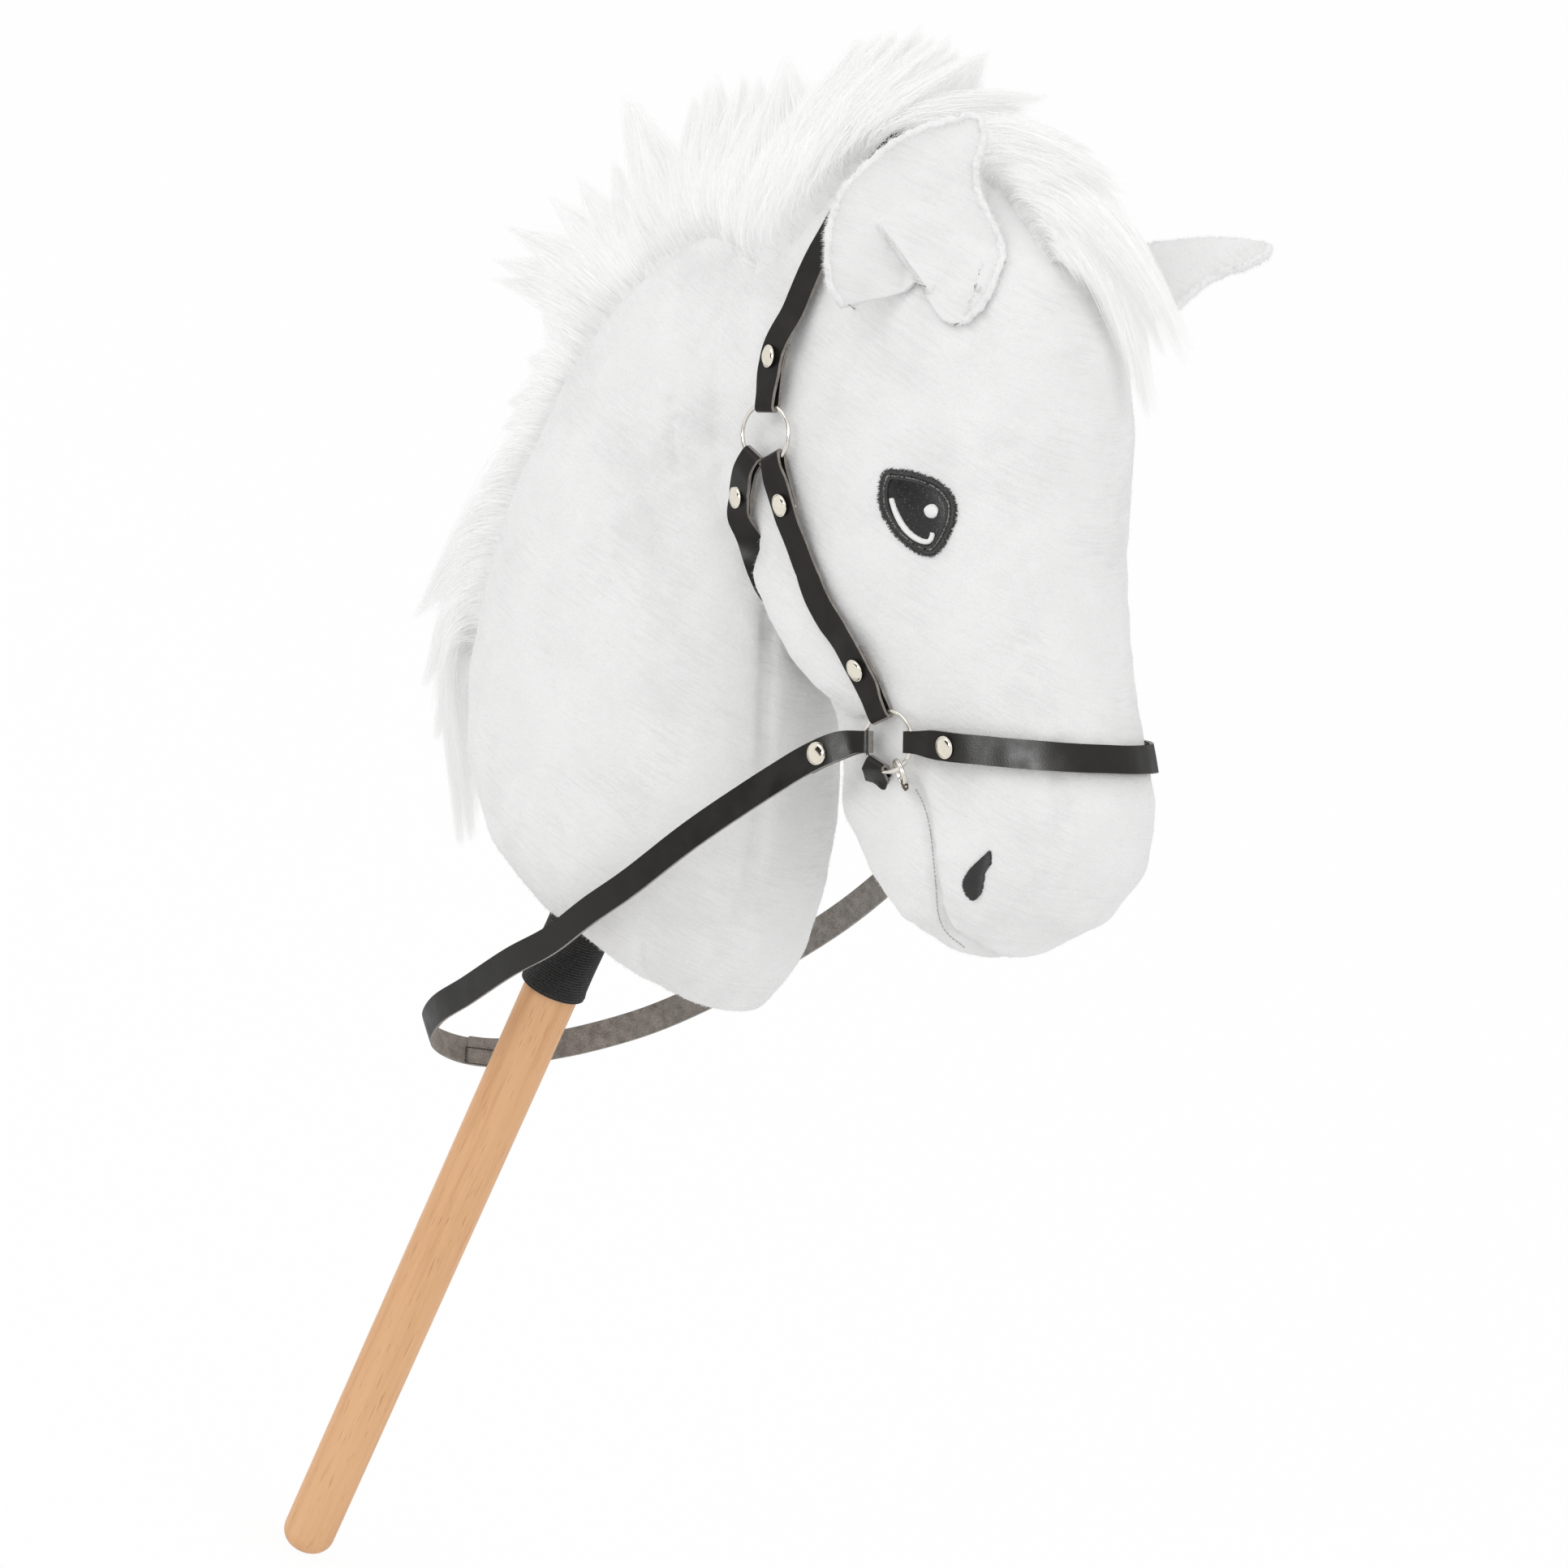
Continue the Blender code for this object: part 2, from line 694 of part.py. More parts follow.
def ring_centre(at, side):
    """The middle of a ring that stands off the skin at a place in side view. Right is -1."""
    place, _ = outermost(Vector((at[0], 0.0, at[1])), Vector((0.0, side, 0.0)), HEAD_SKIN)
    return Vector((at[0], place.y + side * RING_STANDOFF, at[1]))


def ring_way(angle):
    return Vector((math.cos(math.radians(angle)), 0.0, math.sin(math.radians(angle))))


def side_path(start, end, bow, count=8):
    """Skin places on the right side between two places in side view, bowed to the rear."""
    places = []
    for index in range(count + 1):
        share = index / count
        at = start.lerp(end, share) - Vector((bow * math.sin(math.pi * share), 0.0))
        place, _ = outermost(Vector((at.x, 0.0, at.y)), Vector((0.0, -1.0, 0.0)))
        places.append(place)
    return places


def fan_path(origin, target, skins, count=9):
    """Skin places on the right side in the plane from beside an inner place to a mid-plane one."""
    origin = Vector((origin[0], 0.0, origin[1]))
    way = (Vector((target[0], 0.0, target[1])) - origin).normalized()
    places = []
    for index in range(count + 1):
        angle = math.pi / 2 * index / count
        direction = Vector((0.0, -math.cos(angle), 0.0)) + way * math.sin(angle)
        place, _ = outermost(origin, direction, skins)
        places.append(place)
    return places


FOLD_RADIUS = STRAP_THICKNESS / 2 + FOLD_CLEARANCE + RING_WIRE_RADIUS
FOLD_START = math.sqrt(RING_RADIUS ** 2 - (STRAP_END_WIDTH / 2) ** 2)
LAYER_HALF = (STRAP_THICKNESS + LAYER_GAP) / 2
RUN_HEIGHT = STRAP_REST + STRAP_THICKNESS / 2
FLAT_END = 0.019
SETTLING = 0.012


def smoothstep(low, high, value):
    share = min(max((value - low) / (high - low), 0.0), 1.0)
    return share * share * (3.0 - 2.0 * share)


def strap_width(reach):
    """A strap's width at a distance from its ring: its folded ends are trimmed narrower."""
    share = smoothstep(STRAP_END_REACH, STRAP_FULL_REACH, reach)
    return STRAP_END_WIDTH + (STRAP_WIDTH - STRAP_END_WIDTH) * share


def layer_half(distance):
    """Half the spacing of the two layers of a fold, by the distance from the ring's centre."""
    near = RING_RADIUS + RING_WIRE_RADIUS + FOLD_CLEARANCE
    return FOLD_RADIUS + (LAYER_HALF - FOLD_RADIUS) * smoothstep(near, RIVET_FROM_RING - 0.008, distance)


def nearest_skin(point, skins):
    return min((tree.find_nearest(point) for tree in skins), key=lambda hit: hit[3])


def outward_normal(point, way, fallback, skins):
    """The skin's normal at the nearest place, square to the strap's way."""
    nearest = nearest_skin(point, skins)
    normal = nearest[1]
    if (point - nearest[0]).length > 1e-6 and depth_outside(point, skins) > 0.0:
        normal = (point - nearest[0]).normalized()
    normal = (normal - way * normal.dot(way))
    return normal.normalized() if normal.length > 0.1 else fallback


def evened(normals, ways):
    """Normals averaged with their neighbours, so that a strap doesn't twist over a crease."""
    for _ in range(STRAP_EVENING):
        middle = [
            (before + here * 2 + after).normalized()
            for before, here, after in zip(normals, normals[1:], normals[2:])
        ]
        normals = [normals[0], *middle, normals[-1]]
    return [(normal - way * normal.dot(way)).normalized() for normal, way in zip(normals, ways)]


def clear_of_skin(place, normal, way, least, skins):
    """Moves a strap place out until its whole width stands clear of the skin."""
    across = normal.cross(way).normalized()
    for _ in range(6):
        short = max(
            least - depth_outside(place + across * STRAP_WIDTH * share, skins)
            for share in (-0.5, -0.25, 0.0, 0.25, 0.5)
        )
        if short <= 0.0:
            break
        place = place + normal * short
    return place


def straight_end(centre, way):
    """The flat start of a strap's middle line, from its fold round the ring."""
    return [centre + way * reach for reach in (FOLD_START, STRAP_END_REACH, FLAT_END)]


def strap_rows(skin_places, starts, skins):
    """Rows along a strap's middle from ring to ring: place, normal, way and reach from the ring.

    starts holds (centre, way, outward) of the ring at each end.
    """
    first, last = starts
    ends = [straight_end(centre, way) for centre, way, _ in starts]
    rest = [
        place for place in skin_places
        if (place - first[0]).length > FLAT_END + SETTLING / 2
        and (place - last[0]).length > FLAT_END + SETTLING / 2
    ]
    lifted = []
    for place in rest:
        reach = min((place - first[0]).length, (place - last[0]).length)
        settled = smoothstep(FOLD_END, FOLD_END + SETTLING, reach)
        height = RING_STANDOFF + (RUN_HEIGHT - RING_STANDOFF) * settled
        lifted.append(place + nearest_skin(place, skins)[1] * height)
    path = smooth_path([*ends[0], *lifted, *reversed(ends[1])], STRAP_STEP)
    ways = ways_of(path)
    normals = []
    fallback = first[2]
    for place, way in zip(path, ways):
        normal = outward_normal(place, way, fallback, skins)
        for centre, _, outward in starts:
            blend = smoothstep(FLAT_END, FLAT_END + SETTLING, (place - centre).length)
            normal = outward.lerp(normal, blend)
        fallback = normal.normalized()
        normals.append(fallback)
    rows = []
    for place, normal, way in zip(path, evened(normals, ways), ways):
        reach = min((place - first[0]).length, (place - last[0]).length)
        inner = layer_half(reach) if reach < FOLD_END else 0.0
        least = inner + STRAP_THICKNESS / 2 + STRAP_REST
        if reach > STRAP_END_REACH:
            place = clear_of_skin(place, normal, way, least, skins)
        rows.append((place, normal, way, reach))
    return rows


def folded_strap(name, rows, fold_first=True, fold_last=True):
    """A strap mesh from its middle rows, with a folded loop at its ends."""
    outer = []
    for place, normal, way, reach in rows:
        share = 1.0 - smoothstep(FOLD_END, FOLD_END + SETTLING, reach)
        lift = layer_half(min(reach, FOLD_END)) * share
        outer.append((place + normal * lift, normal, way, strap_width(reach)))
    first = fold_rows(rows) if fold_first else []
    last = []
    if fold_last:
        backward = [(place, normal, -way, reach) for place, normal, way, reach in reversed(rows)]
        last = [
            (place, normal, -way, width)
            for place, normal, way, width in reversed(fold_rows(backward))
        ]
    return ribbon(name, first + outer + last)


def fold_rows(rows):
    """The rows of the first fold, from the tail under the strap round the ring's wire."""
    tail = []
    for place, normal, _, reach in rows:
        if reach > FOLD_END:
            break
        tail.append((place - normal * layer_half(reach), -normal, strap_width(reach)))
    place, normal, way, _ = rows[0]
    steps = 6
    turn = []
    for step in range(1, steps):
        angle = math.pi * step / steps
        facing = -normal * math.cos(angle) - way * math.sin(angle)
        turn.append((place + facing * FOLD_RADIUS, facing, STRAP_END_WIDTH))
    spots = list(reversed(tail)) + turn
    after_last = place + normal * FOLD_RADIUS
    folded = []
    for index, (spot, facing, width) in enumerate(spots):
        before = spots[max(index - 1, 0)][0]
        after = spots[index + 1][0] if index + 1 < len(spots) else after_last
        folded.append((spot, facing, (after - before).normalized(), width))
    return folded


# Rings, links and rivets


def torus_mesh(name, radius, wire, sides, wire_sides):
    """A wire ring about its own Y axis."""
    profile = []
    for step in range(wire_sides + 1):
        angle = math.pi / 2 - 2 * math.pi * step / wire_sides
        profile.append((radius + wire * math.cos(angle), wire * math.sin(angle)))
    mesh = turned(name, profile[:-1], sides)
    return moved(mesh, Matrix.Rotation(math.pi / 2, 4, "X"))


def add_rings():
    mesh = torus_mesh("ring", RING_RADIUS, RING_WIRE_RADIUS, RING_SIDES, WIRE_SIDES)
    for label, at in (("top_ring", TOP_RING_AT), ("bit_ring", BIT_RING_AT)):
        for side, word in ((-1.0, "right"), (1.0, "left")):
            ring = add_object(f"{label}_{word}", mesh.copy(), NICKEL)
            ring.location = ring_centre(at, side)


LINK_SIDES = 16
LINK_OUT = 0.0012
LINK_PAST_WIRE = 0.0026
LINK_TURN = math.radians(48.0)


def add_links():
    mesh = torus_mesh("link_ring", LINK_RADIUS, LINK_WIRE_RADIUS, LINK_SIDES, WIRE_SIDES)
    for side, word in ((-1.0, "right"), (1.0, "left")):
        radial = ring_way(BIT_ANGLES["link"])
        outward = Vector((0.0, side, 0.0))
        tangent = Vector((-radial.z, 0.0, radial.x))
        centre = ring_centre(BIT_RING_AT, side)
        centre = centre + radial * (RING_RADIUS + LINK_PAST_WIRE) + outward * LINK_OUT
        second = outward * math.cos(LINK_TURN) + tangent * math.sin(LINK_TURN)
        axis = radial.cross(second).normalized()
        turn = Matrix((radial, axis, second)).transposed().to_4x4()
        if turn.determinant() < 0.0:
            turn = Matrix((radial, axis, -second)).transposed().to_4x4()
        link = add_object(f"link_ring_{word}", moved(mesh.copy(), turn), NICKEL)
        link.location = centre


RIVET_SEAT = LAYER_HALF + STRAP_THICKNESS / 2 + GAP
RIVET_BACK_HEIGHT = 0.0008


def rivet_mesh():
    """A double-cap rivet about Z: domed cap outside, shank through the strap, flat cap inside."""
    rim = RIVET_SEAT + RIVET_CAP_HEIGHT / 3
    back = -RIVET_SEAT - RIVET_BACK_HEIGHT
    back_radius = RIVET_CAP_RADIUS * 0.85
    profile = [
        (0.0, RIVET_SEAT + RIVET_CAP_HEIGHT),
        (RIVET_CAP_RADIUS * 0.6, RIVET_SEAT + RIVET_CAP_HEIGHT * 0.85),
        (RIVET_CAP_RADIUS, rim),
        (RIVET_CAP_RADIUS, RIVET_SEAT),
        (RIVET_SHANK_RADIUS, RIVET_SEAT),
        (RIVET_SHANK_RADIUS, -RIVET_SEAT),
        (back_radius, -RIVET_SEAT),
        (back_radius, back),
        (0.0, back),
    ]
    return turned("rivet", profile, RIVET_SIDES)


RIVET = rivet_mesh()


def facing_matrix(place, normal, way):
    """A matrix that puts +Z on the normal and +X on the way."""
    across = normal.cross(way).normalized()
    along = across.cross(normal)
    turn = Matrix((along, across, normal)).transposed().to_4x4()
    return Matrix.Translation(place) @ turn


def rivet_hole(matrix, reach=0.006):
    hole = RIVET_SHANK_RADIUS + RIVET_FIT
    profile = [(0.0, reach), (hole, reach), (hole, -reach), (0.0, -reach)]
    return moved(turned("rivet_hole", profile, RIVET_SIDES), matrix)


def place_at(rows, from_end):
    """The middle line of a fold at the rivet's distance from its ring."""
    ordered = list(reversed(rows)) if from_end else rows
    for first, second in zip(ordered, ordered[1:]):
        if second[3] >= RIVET_FROM_RING:
            share = (RIVET_FROM_RING - first[3]) / (second[3] - first[3])
            place = first[0].lerp(second[0], share)
            normal = first[1].lerp(second[1], share).normalized()
            way = first[2].lerp(second[2], share).normalized()
            return place, normal, way
    return ordered[-1][:3]


def finish_strap(name, mesh, rows, rivets):
    """Punches the strap for its rivets and sets them. rivets holds (rivet name, at the far end)."""
    holes = []
    for rivet_name, from_end in rivets:
        matrix = facing_matrix(*place_at(rows, from_end))
        holes.append(rivet_hole(matrix))
        add_object(rivet_name, moved(RIVET.copy(), matrix), NICKEL)
    add_object(name, boolean(mesh, holes, name=name), LEATHER)


# Halter


def mirror_places(places):
    return [Vector((place.x, -place.y, place.z)) for place in places]


def round_strap(name, at, angle, from_ring, over, skins=SKINS):
    """A strap from the right ring over the head's middle to the left ring.

    from_ring and over are the steps in side view from the ring to an inner place and on to the
    middle place that the strap passes over.
    """
    start = Vector(at) + Vector(from_ring)
    target = Vector(at) + Vector(over)
    right = fan_path(start, target, skins)
    places = right + list(reversed(mirror_places(right[:-1])))
    way = ring_way(angle)
    starts = (
        (ring_centre(at, -1.0), way, Vector((0.0, -1.0, 0.0))),
        (ring_centre(at, 1.0), way, Vector((0.0, 1.0, 0.0))),
    )
    rows = strap_rows(places, starts, skins)
    rivets = ((f"{name}_rivet_right", False), (f"{name}_rivet_left", True))
    finish_strap(name, folded_strap(name, rows), rows, rivets)
    return rows


def cheek_strap():
    down = ring_way(TOP_ANGLES["cheek"])
    up = ring_way(BIT_ANGLES["cheek"])
    outward = Vector((0.0, -1.0, 0.0))
    start = Vector(TOP_RING_AT) + down.xz * FOLD_END
    end = Vector(BIT_RING_AT) + up.xz * FOLD_END
    top = (ring_centre(TOP_RING_AT, -1.0), down, outward)
    bit = (ring_centre(BIT_RING_AT, -1.0), up, outward)
    rows = strap_rows(side_path(start, end, CHEEK_STRAP_BOW), (top, bit), SKINS)
    mesh = folded_strap("cheek_strap", rows)
    holes = []
    for label, from_end in (("upper", False), ("lower", True)):
        matrix = facing_matrix(*place_at(rows, from_end))
        holes.append(rivet_hole(matrix))
        rivet = moved(RIVET.copy(), matrix)
        add_object(f"cheek_rivet_{label}_right", rivet, NICKEL)
        add_object(f"cheek_rivet_{label}_left", mirrored(rivet, "cheek_rivet"), NICKEL)
    strap = boolean(mesh, holes, name="cheek_strap")
    add_object("cheek_strap_right", strap, LEATHER)
    add_object("cheek_strap_left", mirrored(strap, "cheek_strap_left"), LEATHER)


# Rein


REIN_UP = Vector((-0.39, 0.0, 0.92))


def rein_rows():
    right = ring_centre(BIT_RING_AT, -1.0)
    left = ring_centre(BIT_RING_AT, 1.0)
    way = ring_way(BIT_ANGLES["rein"])
    points = straight_end(right, way)
    points += [Vector(point) for point in REIN_ROUTE]
    points += reversed(straight_end(left, way))
    path = smooth_path(points, STRAP_STEP)
    rows = []
    for place, along in zip(path, ways_of(path)):
        from_right = (place - right).length
        from_left = (place - left).length
        normal = REIN_UP.cross(along).normalized()
        normal = Vector((0.0, -1.0, 0.0)).lerp(normal, smoothstep(FLAT_END, 0.04, from_right))
        normal = Vector((0.0, 1.0, 0.0)).lerp(normal, smoothstep(FLAT_END, 0.04, from_left))
        normal = (normal - along * normal.dot(along)).normalized()
        rows.append((place, normal, along, min(from_right, from_left)))
    return rows


REIN_LAP_STARTS = 0.022
REIN_LAP_LENGTH = 0.036


def add_rein():
    """Two rein halves, lapped and stitched just past the middle of the loop."""
    rows = rein_rows()
    travelled = [0.0]
    for first, second in zip(rows, rows[1:]):
        travelled.append(travelled[-1] + (second[0] - first[0]).length)
    middle = next(t for t, row in zip(travelled, rows) if row[0].y > 0.0 and row[0].x < 0.0)
    lap_start = middle + REIN_LAP_STARTS
    lap_end = lap_start + REIN_LAP_LENGTH
    step_in = STRAP_THICKNESS + LAYER_GAP
    right_rows = [row for t, row in zip(travelled, rows) if t <= lap_end]
    left_rows = []
    for t, (place, normal, along, reach) in zip(travelled, rows):
        if t >= lap_start:
            shift = step_in * (1.0 - smoothstep(lap_end + 0.002, lap_end + 0.014, t))
            left_rows.append((place - normal * shift, normal, along, reach))
    right_mesh = folded_strap("rein_right", right_rows, fold_last=False)
    left_mesh = folded_strap("rein_left", left_rows, fold_first=False)
    finish_strap("rein_right", right_mesh, right_rows, (("rein_rivet_right", False),))
    finish_strap("rein_left", left_mesh, left_rows, (("rein_rivet_left", True),))


# Appliques: eye and nostril


EYE_CORNER = (0.2262, 0.2198)
EYE_OUTLINE = (
    (0.2354, 0.2201), (0.2534, 0.2156), (0.2647, 0.2053), (0.2633, 0.1922), (0.2534, 0.1839),
    (0.2377, 0.1894), (0.2255, 0.2018), (0.2238, 0.2120),
)
EYE_CENTRE = (0.2450, 0.2020)
EYE_RING_SHARE = 0.80
NOSTRIL_OUTLINE = (
    (0.2758, 0.0576), (0.2740, 0.0520), (0.2716, 0.0450), (0.2680, 0.0390), (0.2635, 0.0376),
    (0.2602, 0.0410), (0.2605, 0.0480), (0.2650, 0.0530),
)
NOSTRIL_CENTRE = (0.2662, 0.0462)
NOSTRIL_LIFT = 0.0010
PATCH_THICKNESS = 0.0008
PATCH_LIFT = 0.0007
LIGHT_THICKNESS = 0.0004


def side_skin(at, lift):
    place, normal = outermost(
        Vector((at[0], 0.0, at[1])), Vector((0.0, -1.0, 0.0)), HEAD_SKIN
    )
    return place + normal * lift


def closed_smooth(outline, corner=None):
    """Points along a smooth closed outline, with an optional sharp corner at its start."""
    points = [Vector(point) for point in outline]
    if corner:
        sharp = Vector(corner)
        return curve_points(steered([sharp, *points, sharp]), 2)
    return curve_points([points[-1], *points, points[0], points[1]], 2)


def patch(name, outline, centre, shares, finish, lift=PATCH_LIFT, thickness=PATCH_THICKNESS):
    """A thin patch that follows the skin: rings of the outline drawn in towards the centre."""
    centre = Vector(centre)
    work = bmesh.new()
    rows = []
    for share in shares:
        if share == 0.0:
            rows.append([work.verts.new(side_skin(centre, lift + thickness / 2))])
        else:
            rows.append([
                work.verts.new(side_skin(centre.lerp(point, share), lift + thickness / 2))
                for point in outline
            ])
    for outer, inner in zip(rows, rows[1:]):
        for index in range(len(outer)):
            following = (index + 1) % len(outer)
            if len(inner) == 1:
                work.faces.new((outer[index], outer[following], inner[0]))
            else:
                work.faces.new((outer[index], outer[following], inner[following], inner[index]))
    add_pair(name, thickened(name, work, thickness), finish)


def thickened(name, work, thickness):
    mesh = bpy.data.meshes.new(name)
    work.to_mesh(mesh)
    work.free()
    sheet = cutter(name + "_sheet", mesh)
    solid = sheet.modifiers.new("thickness", "SOLIDIFY")
    solid.thickness = thickness
    solid.offset = 0.0
    result = evaluated_mesh(sheet)
    bpy.data.objects.remove(sheet, do_unlink=True)
    work = bmesh.new()
    work.from_mesh(result)
    return mesh_of(name, work)


def add_pair(name, mesh, finish):
    add_object(f"{name}_right", mesh, finish)
    add_object(f"{name}_left", mirrored(mesh, f"{name}_left"), finish)


GLINT_ARC = ((0.2300, 0.2082), (0.2330, 0.1985), (0.2400, 0.1915), (0.2475, 0.1893),
             (0.2515, 0.1925))
GLINT_WIDTHS = (0.0014, 0.0018, 0.0022, 0.0024, 0.0014)
DOT_CENTRE = (0.2535, 0.2035)
DOT_RADIUS = 0.0029


def add_eyes():
    outline = closed_smooth(EYE_OUTLINE, EYE_CORNER)
    patch("eye_ring", outline, EYE_CENTRE, (1.0, EYE_RING_SHARE + 0.012), BLACK_THREAD)
    patch("eye_patch", outline, EYE_CENTRE, (EYE_RING_SHARE - 0.012, 0.4, 0.0), EYE_BLACK)
    above = PATCH_LIFT + PATCH_THICKNESS + GAP
    work = bmesh.new()
    rows = []
    arc = [Vector(point) for point in GLINT_ARC]
    for index, (point, width) in enumerate(zip(arc, GLINT_WIDTHS)):
        way = (arc[min(index + 1, len(arc) - 1)] - arc[max(index - 1, 0)]).normalized()
        across = Vector((-way.y, way.x)) * width
        rows.append([work.verts.new(side_skin(point + across * share, above + LIGHT_THICKNESS / 2))
                     for share in (-0.5, 0.5)])
    for (a, b), (c, d) in zip(rows, rows[1:]):
        work.faces.new((a, b, d, c))
    add_pair("eye_glint", thickened("eye_glint", work, LIGHT_THICKNESS), WHITE_THREAD)
    dot = [
        Vector(DOT_CENTRE) + Vector((math.cos(angle), math.sin(angle))) * DOT_RADIUS
        for angle in (2 * math.pi * step / 12 for step in range(12))
    ]
    patch("eye_dot", dot, DOT_CENTRE, (1.0, 0.0), WHITE_THREAD, above, LIGHT_THICKNESS)


def add_nostrils():
    outline = closed_smooth(NOSTRIL_OUTLINE)
    patch("nostril", outline, NOSTRIL_CENTRE, (1.0, 0.5, 0.0), BLACK_THREAD, NOSTRIL_LIFT)


# Ears


EAR_POSES = {
    "right": (Vector((0.2340, -0.0540, 0.2960)), Vector((0.297, 0.200, 0.921)),
              Vector((0.643, -0.766, 0.0))),
    "left": (Vector((0.2520, 0.0430, 0.3050)), Vector((0.75, 0.62, 0.12)),
             Vector((-0.118, 0.453, -0.882))),
}


def ear_half_widths(share):
    """The leaf's half widths on its two edges at a share of its length."""
    for (low, *first), (high, *second) in zip(EAR_SHAPE, EAR_SHAPE[1:]):
        if share <= high:
            part = (share - low) / (high - low)
            return [a + (b - a) * part for a, b in zip(first, second)]
    return EAR_SHAPE[-1][1:]


def ear_sheet(name, pose, handed, lift, margin, thickness):
    """A cupped leaf from its base to its tip, its hollow towards the facing side."""
    base, length_way, facing = pose
    length_way = length_way.normalized()
    facing = (facing - length_way * facing.dot(length_way)).normalized()
    across = facing.cross(length_way) * handed
    first = EAR_SHAPE[0][0] + margin / EAR_LENGTH
    last = 1.0 - margin / EAR_LENGTH
    steps = 10
    columns = 4
    work = bmesh.new()
    rows = []
    for step in range(steps + 1):
        share = first + (last - first) * step / steps
        row = []
        for column in range(-columns, columns + 1):
            side = column / columns
            half = max(ear_half_widths(share)[column > 0] - margin, 0.0008)
            cup = EAR_CUP * (1.1 - share) * side * side
            place = base + length_way * (EAR_LENGTH * share)
            row.append(work.verts.new(place + across * (half * side) + facing * (cup + lift)))
        rows.append(row)
    for lower, upper in zip(rows, rows[1:]):
        for column in range(len(lower) - 1):
            work.faces.new((lower[column], lower[column + 1], upper[column + 1], upper[column]))
    return thickened(name, work, thickness)


def add_ears(head_room):
    for word, pose in EAR_POSES.items():
        handed = -1.0 if word == "right" else 1.0
        lining_lift = (EAR_THICKNESS + LINING_THICKNESS) / 2 + GAP
        outer = ear_sheet("ear", pose, handed, 0.0, 0.0, EAR_THICKNESS)
        lining = ear_sheet("lining", pose, handed, lining_lift, LINING_MARGIN, LINING_THICKNESS)
        outer = boolean(outer, [head_room.copy()], name=f"ear_{word}")
        lining = boolean(lining, [head_room.copy()], name=f"ear_lining_{word}")
        add_object(f"ear_{word}", outer, PLUSH)
        add_object(f"ear_lining_{word}", lining, LINING)


# Mane and forelock


def crest_place(degrees):
    """The crest's skin place, outward way and backward way at an angle round the middle."""
    way = ring_way(degrees)
    place, normal = outermost(CREST_MIDDLE, way)
    normal = Vector((normal.x, 0.0, normal.z)).normalized()
    back = Vector((-normal.z, 0.0, normal.x))
    return place, normal, back


def ridge(name, first, last, height, half_width, count):
    """A rounded bank of pile along the crest between two angles."""
    rings = []
    sides = 10
    for step in range(count):
        share = step / (count - 1)
        place, normal, _ = crest_place(first + (last - first) * share)
        taper = 0.3 + 0.7 * math.sin(math.pi * min(max(share, 0.03), 0.97)) ** 0.5
        rings.append([
            place + normal * (height * taper * math.cos(angle))
            + Vector((0.0, half_width * taper * math.sin(angle), 0.0))
            for angle in (2 * math.pi * index / sides for index in range(sides))
        ])
    ends = (sum(rings[0], Vector()) / sides, sum(rings[-1], Vector()) / sides)
    return loft(name, rings, ends)


def lock(degrees, length, lean, half_width, thick, aside):
    """A curved lock of pile that leans from the crest and ends in a point."""
    place, normal, back = crest_place(degrees)
    rings = []
    count = 5
    sides = 6
    for step in range(count):
        share = step / count
        bend = lean * (0.45 + 0.55 * share)
        way = normal * math.cos(bend) + back * math.sin(bend)
        centre = place + way * (length * share) + Vector((0.0, aside * share, 0.0))
        size = (1.0 - share) ** 0.6
        along = way.cross(Vector((0.0, 1.0, 0.0))).normalized()
        rings.append([
            centre + along * (thick * size * math.cos(angle))
            + Vector((0.0, half_width * size * math.sin(angle), 0.0))
            for angle in (2 * math.pi * index / sides for index in range(sides))
        ])
    way = normal * math.cos(lean) + back * math.sin(lean)
    tip = place + way * length + Vector((0.0, aside, 0.0))
    return loft("lock", rings, (place - normal * thick / 2, tip))


def add_mane(rooms):
    """The long-pile strip sewn in the crest seam, with its locks."""
    locks = []
    for index in range(MANE_LOCKS):
        share = index / (MANE_LOCKS - 1)
        degrees = MANE_FROM + (MANE_TO - MANE_FROM) * share
        swell = 0.5 + 0.5 * math.sin(index * 2.4)
        at_poll = math.exp(-((degrees - 128.0) / 18.0) ** 2)
        length = 0.052 + 0.014 * swell + 0.014 * at_poll
        lean = math.radians(62.0 - 40.0 * share + 10.0 * math.cos(index * 1.7))
        aside = 0.014 * math.sin(index * 2.1)
        locks.append(lock(degrees, length, lean, MANE_HALF_WIDTH * 0.75, 0.013, aside))
    bank = ridge("mane", MANE_FROM, MANE_TO, MANE_HEIGHT, MANE_HALF_WIDTH, 24)
    mane = boolean(bank, locks, "UNION", "mane")
    add_object("mane", boolean(mane, rooms, name="mane"), PILE)


def add_forelock(rooms):
    """The long-pile tuft between the ears, combed forward over the face."""
    locks = []
    for index in range(FORELOCK_LOCKS):
        share = index / (FORELOCK_LOCKS - 1)
        degrees = FORELOCK_FROM + (FORELOCK_TO - FORELOCK_FROM) * share
        lean = math.radians(-40.0 - 45.0 * share)
        aside = 0.014 * math.sin(index * 2.3 + 0.6)
        length = 0.046 + 0.020 * share
        locks.append(lock(degrees, length, lean, MANE_HALF_WIDTH * 0.8, 0.010, aside))
    bank = ridge("forelock", FORELOCK_FROM, FORELOCK_TO, FORELOCK_HEIGHT, MANE_HALF_WIDTH, 8)
    forelock = boolean(bank, locks, "UNION", "forelock")
    add_object("forelock", boolean(forelock, rooms, name="forelock"), PILE)


def add_stick_and_socket():
    add_object("stick", stick_mesh(), WOOD, None)
    for name, mesh, finish in (
        ("neck_cuff", cuff_mesh(), CUFF),
        ("socket_tube", tube_mesh(), PLASTIC),
        ("socket_cap", cap_mesh(), PLASTIC),
    ):
        piece = add_object(name, mesh, finish, None)
        piece.location = (0.0, 0.0, STICK_SHOWN)


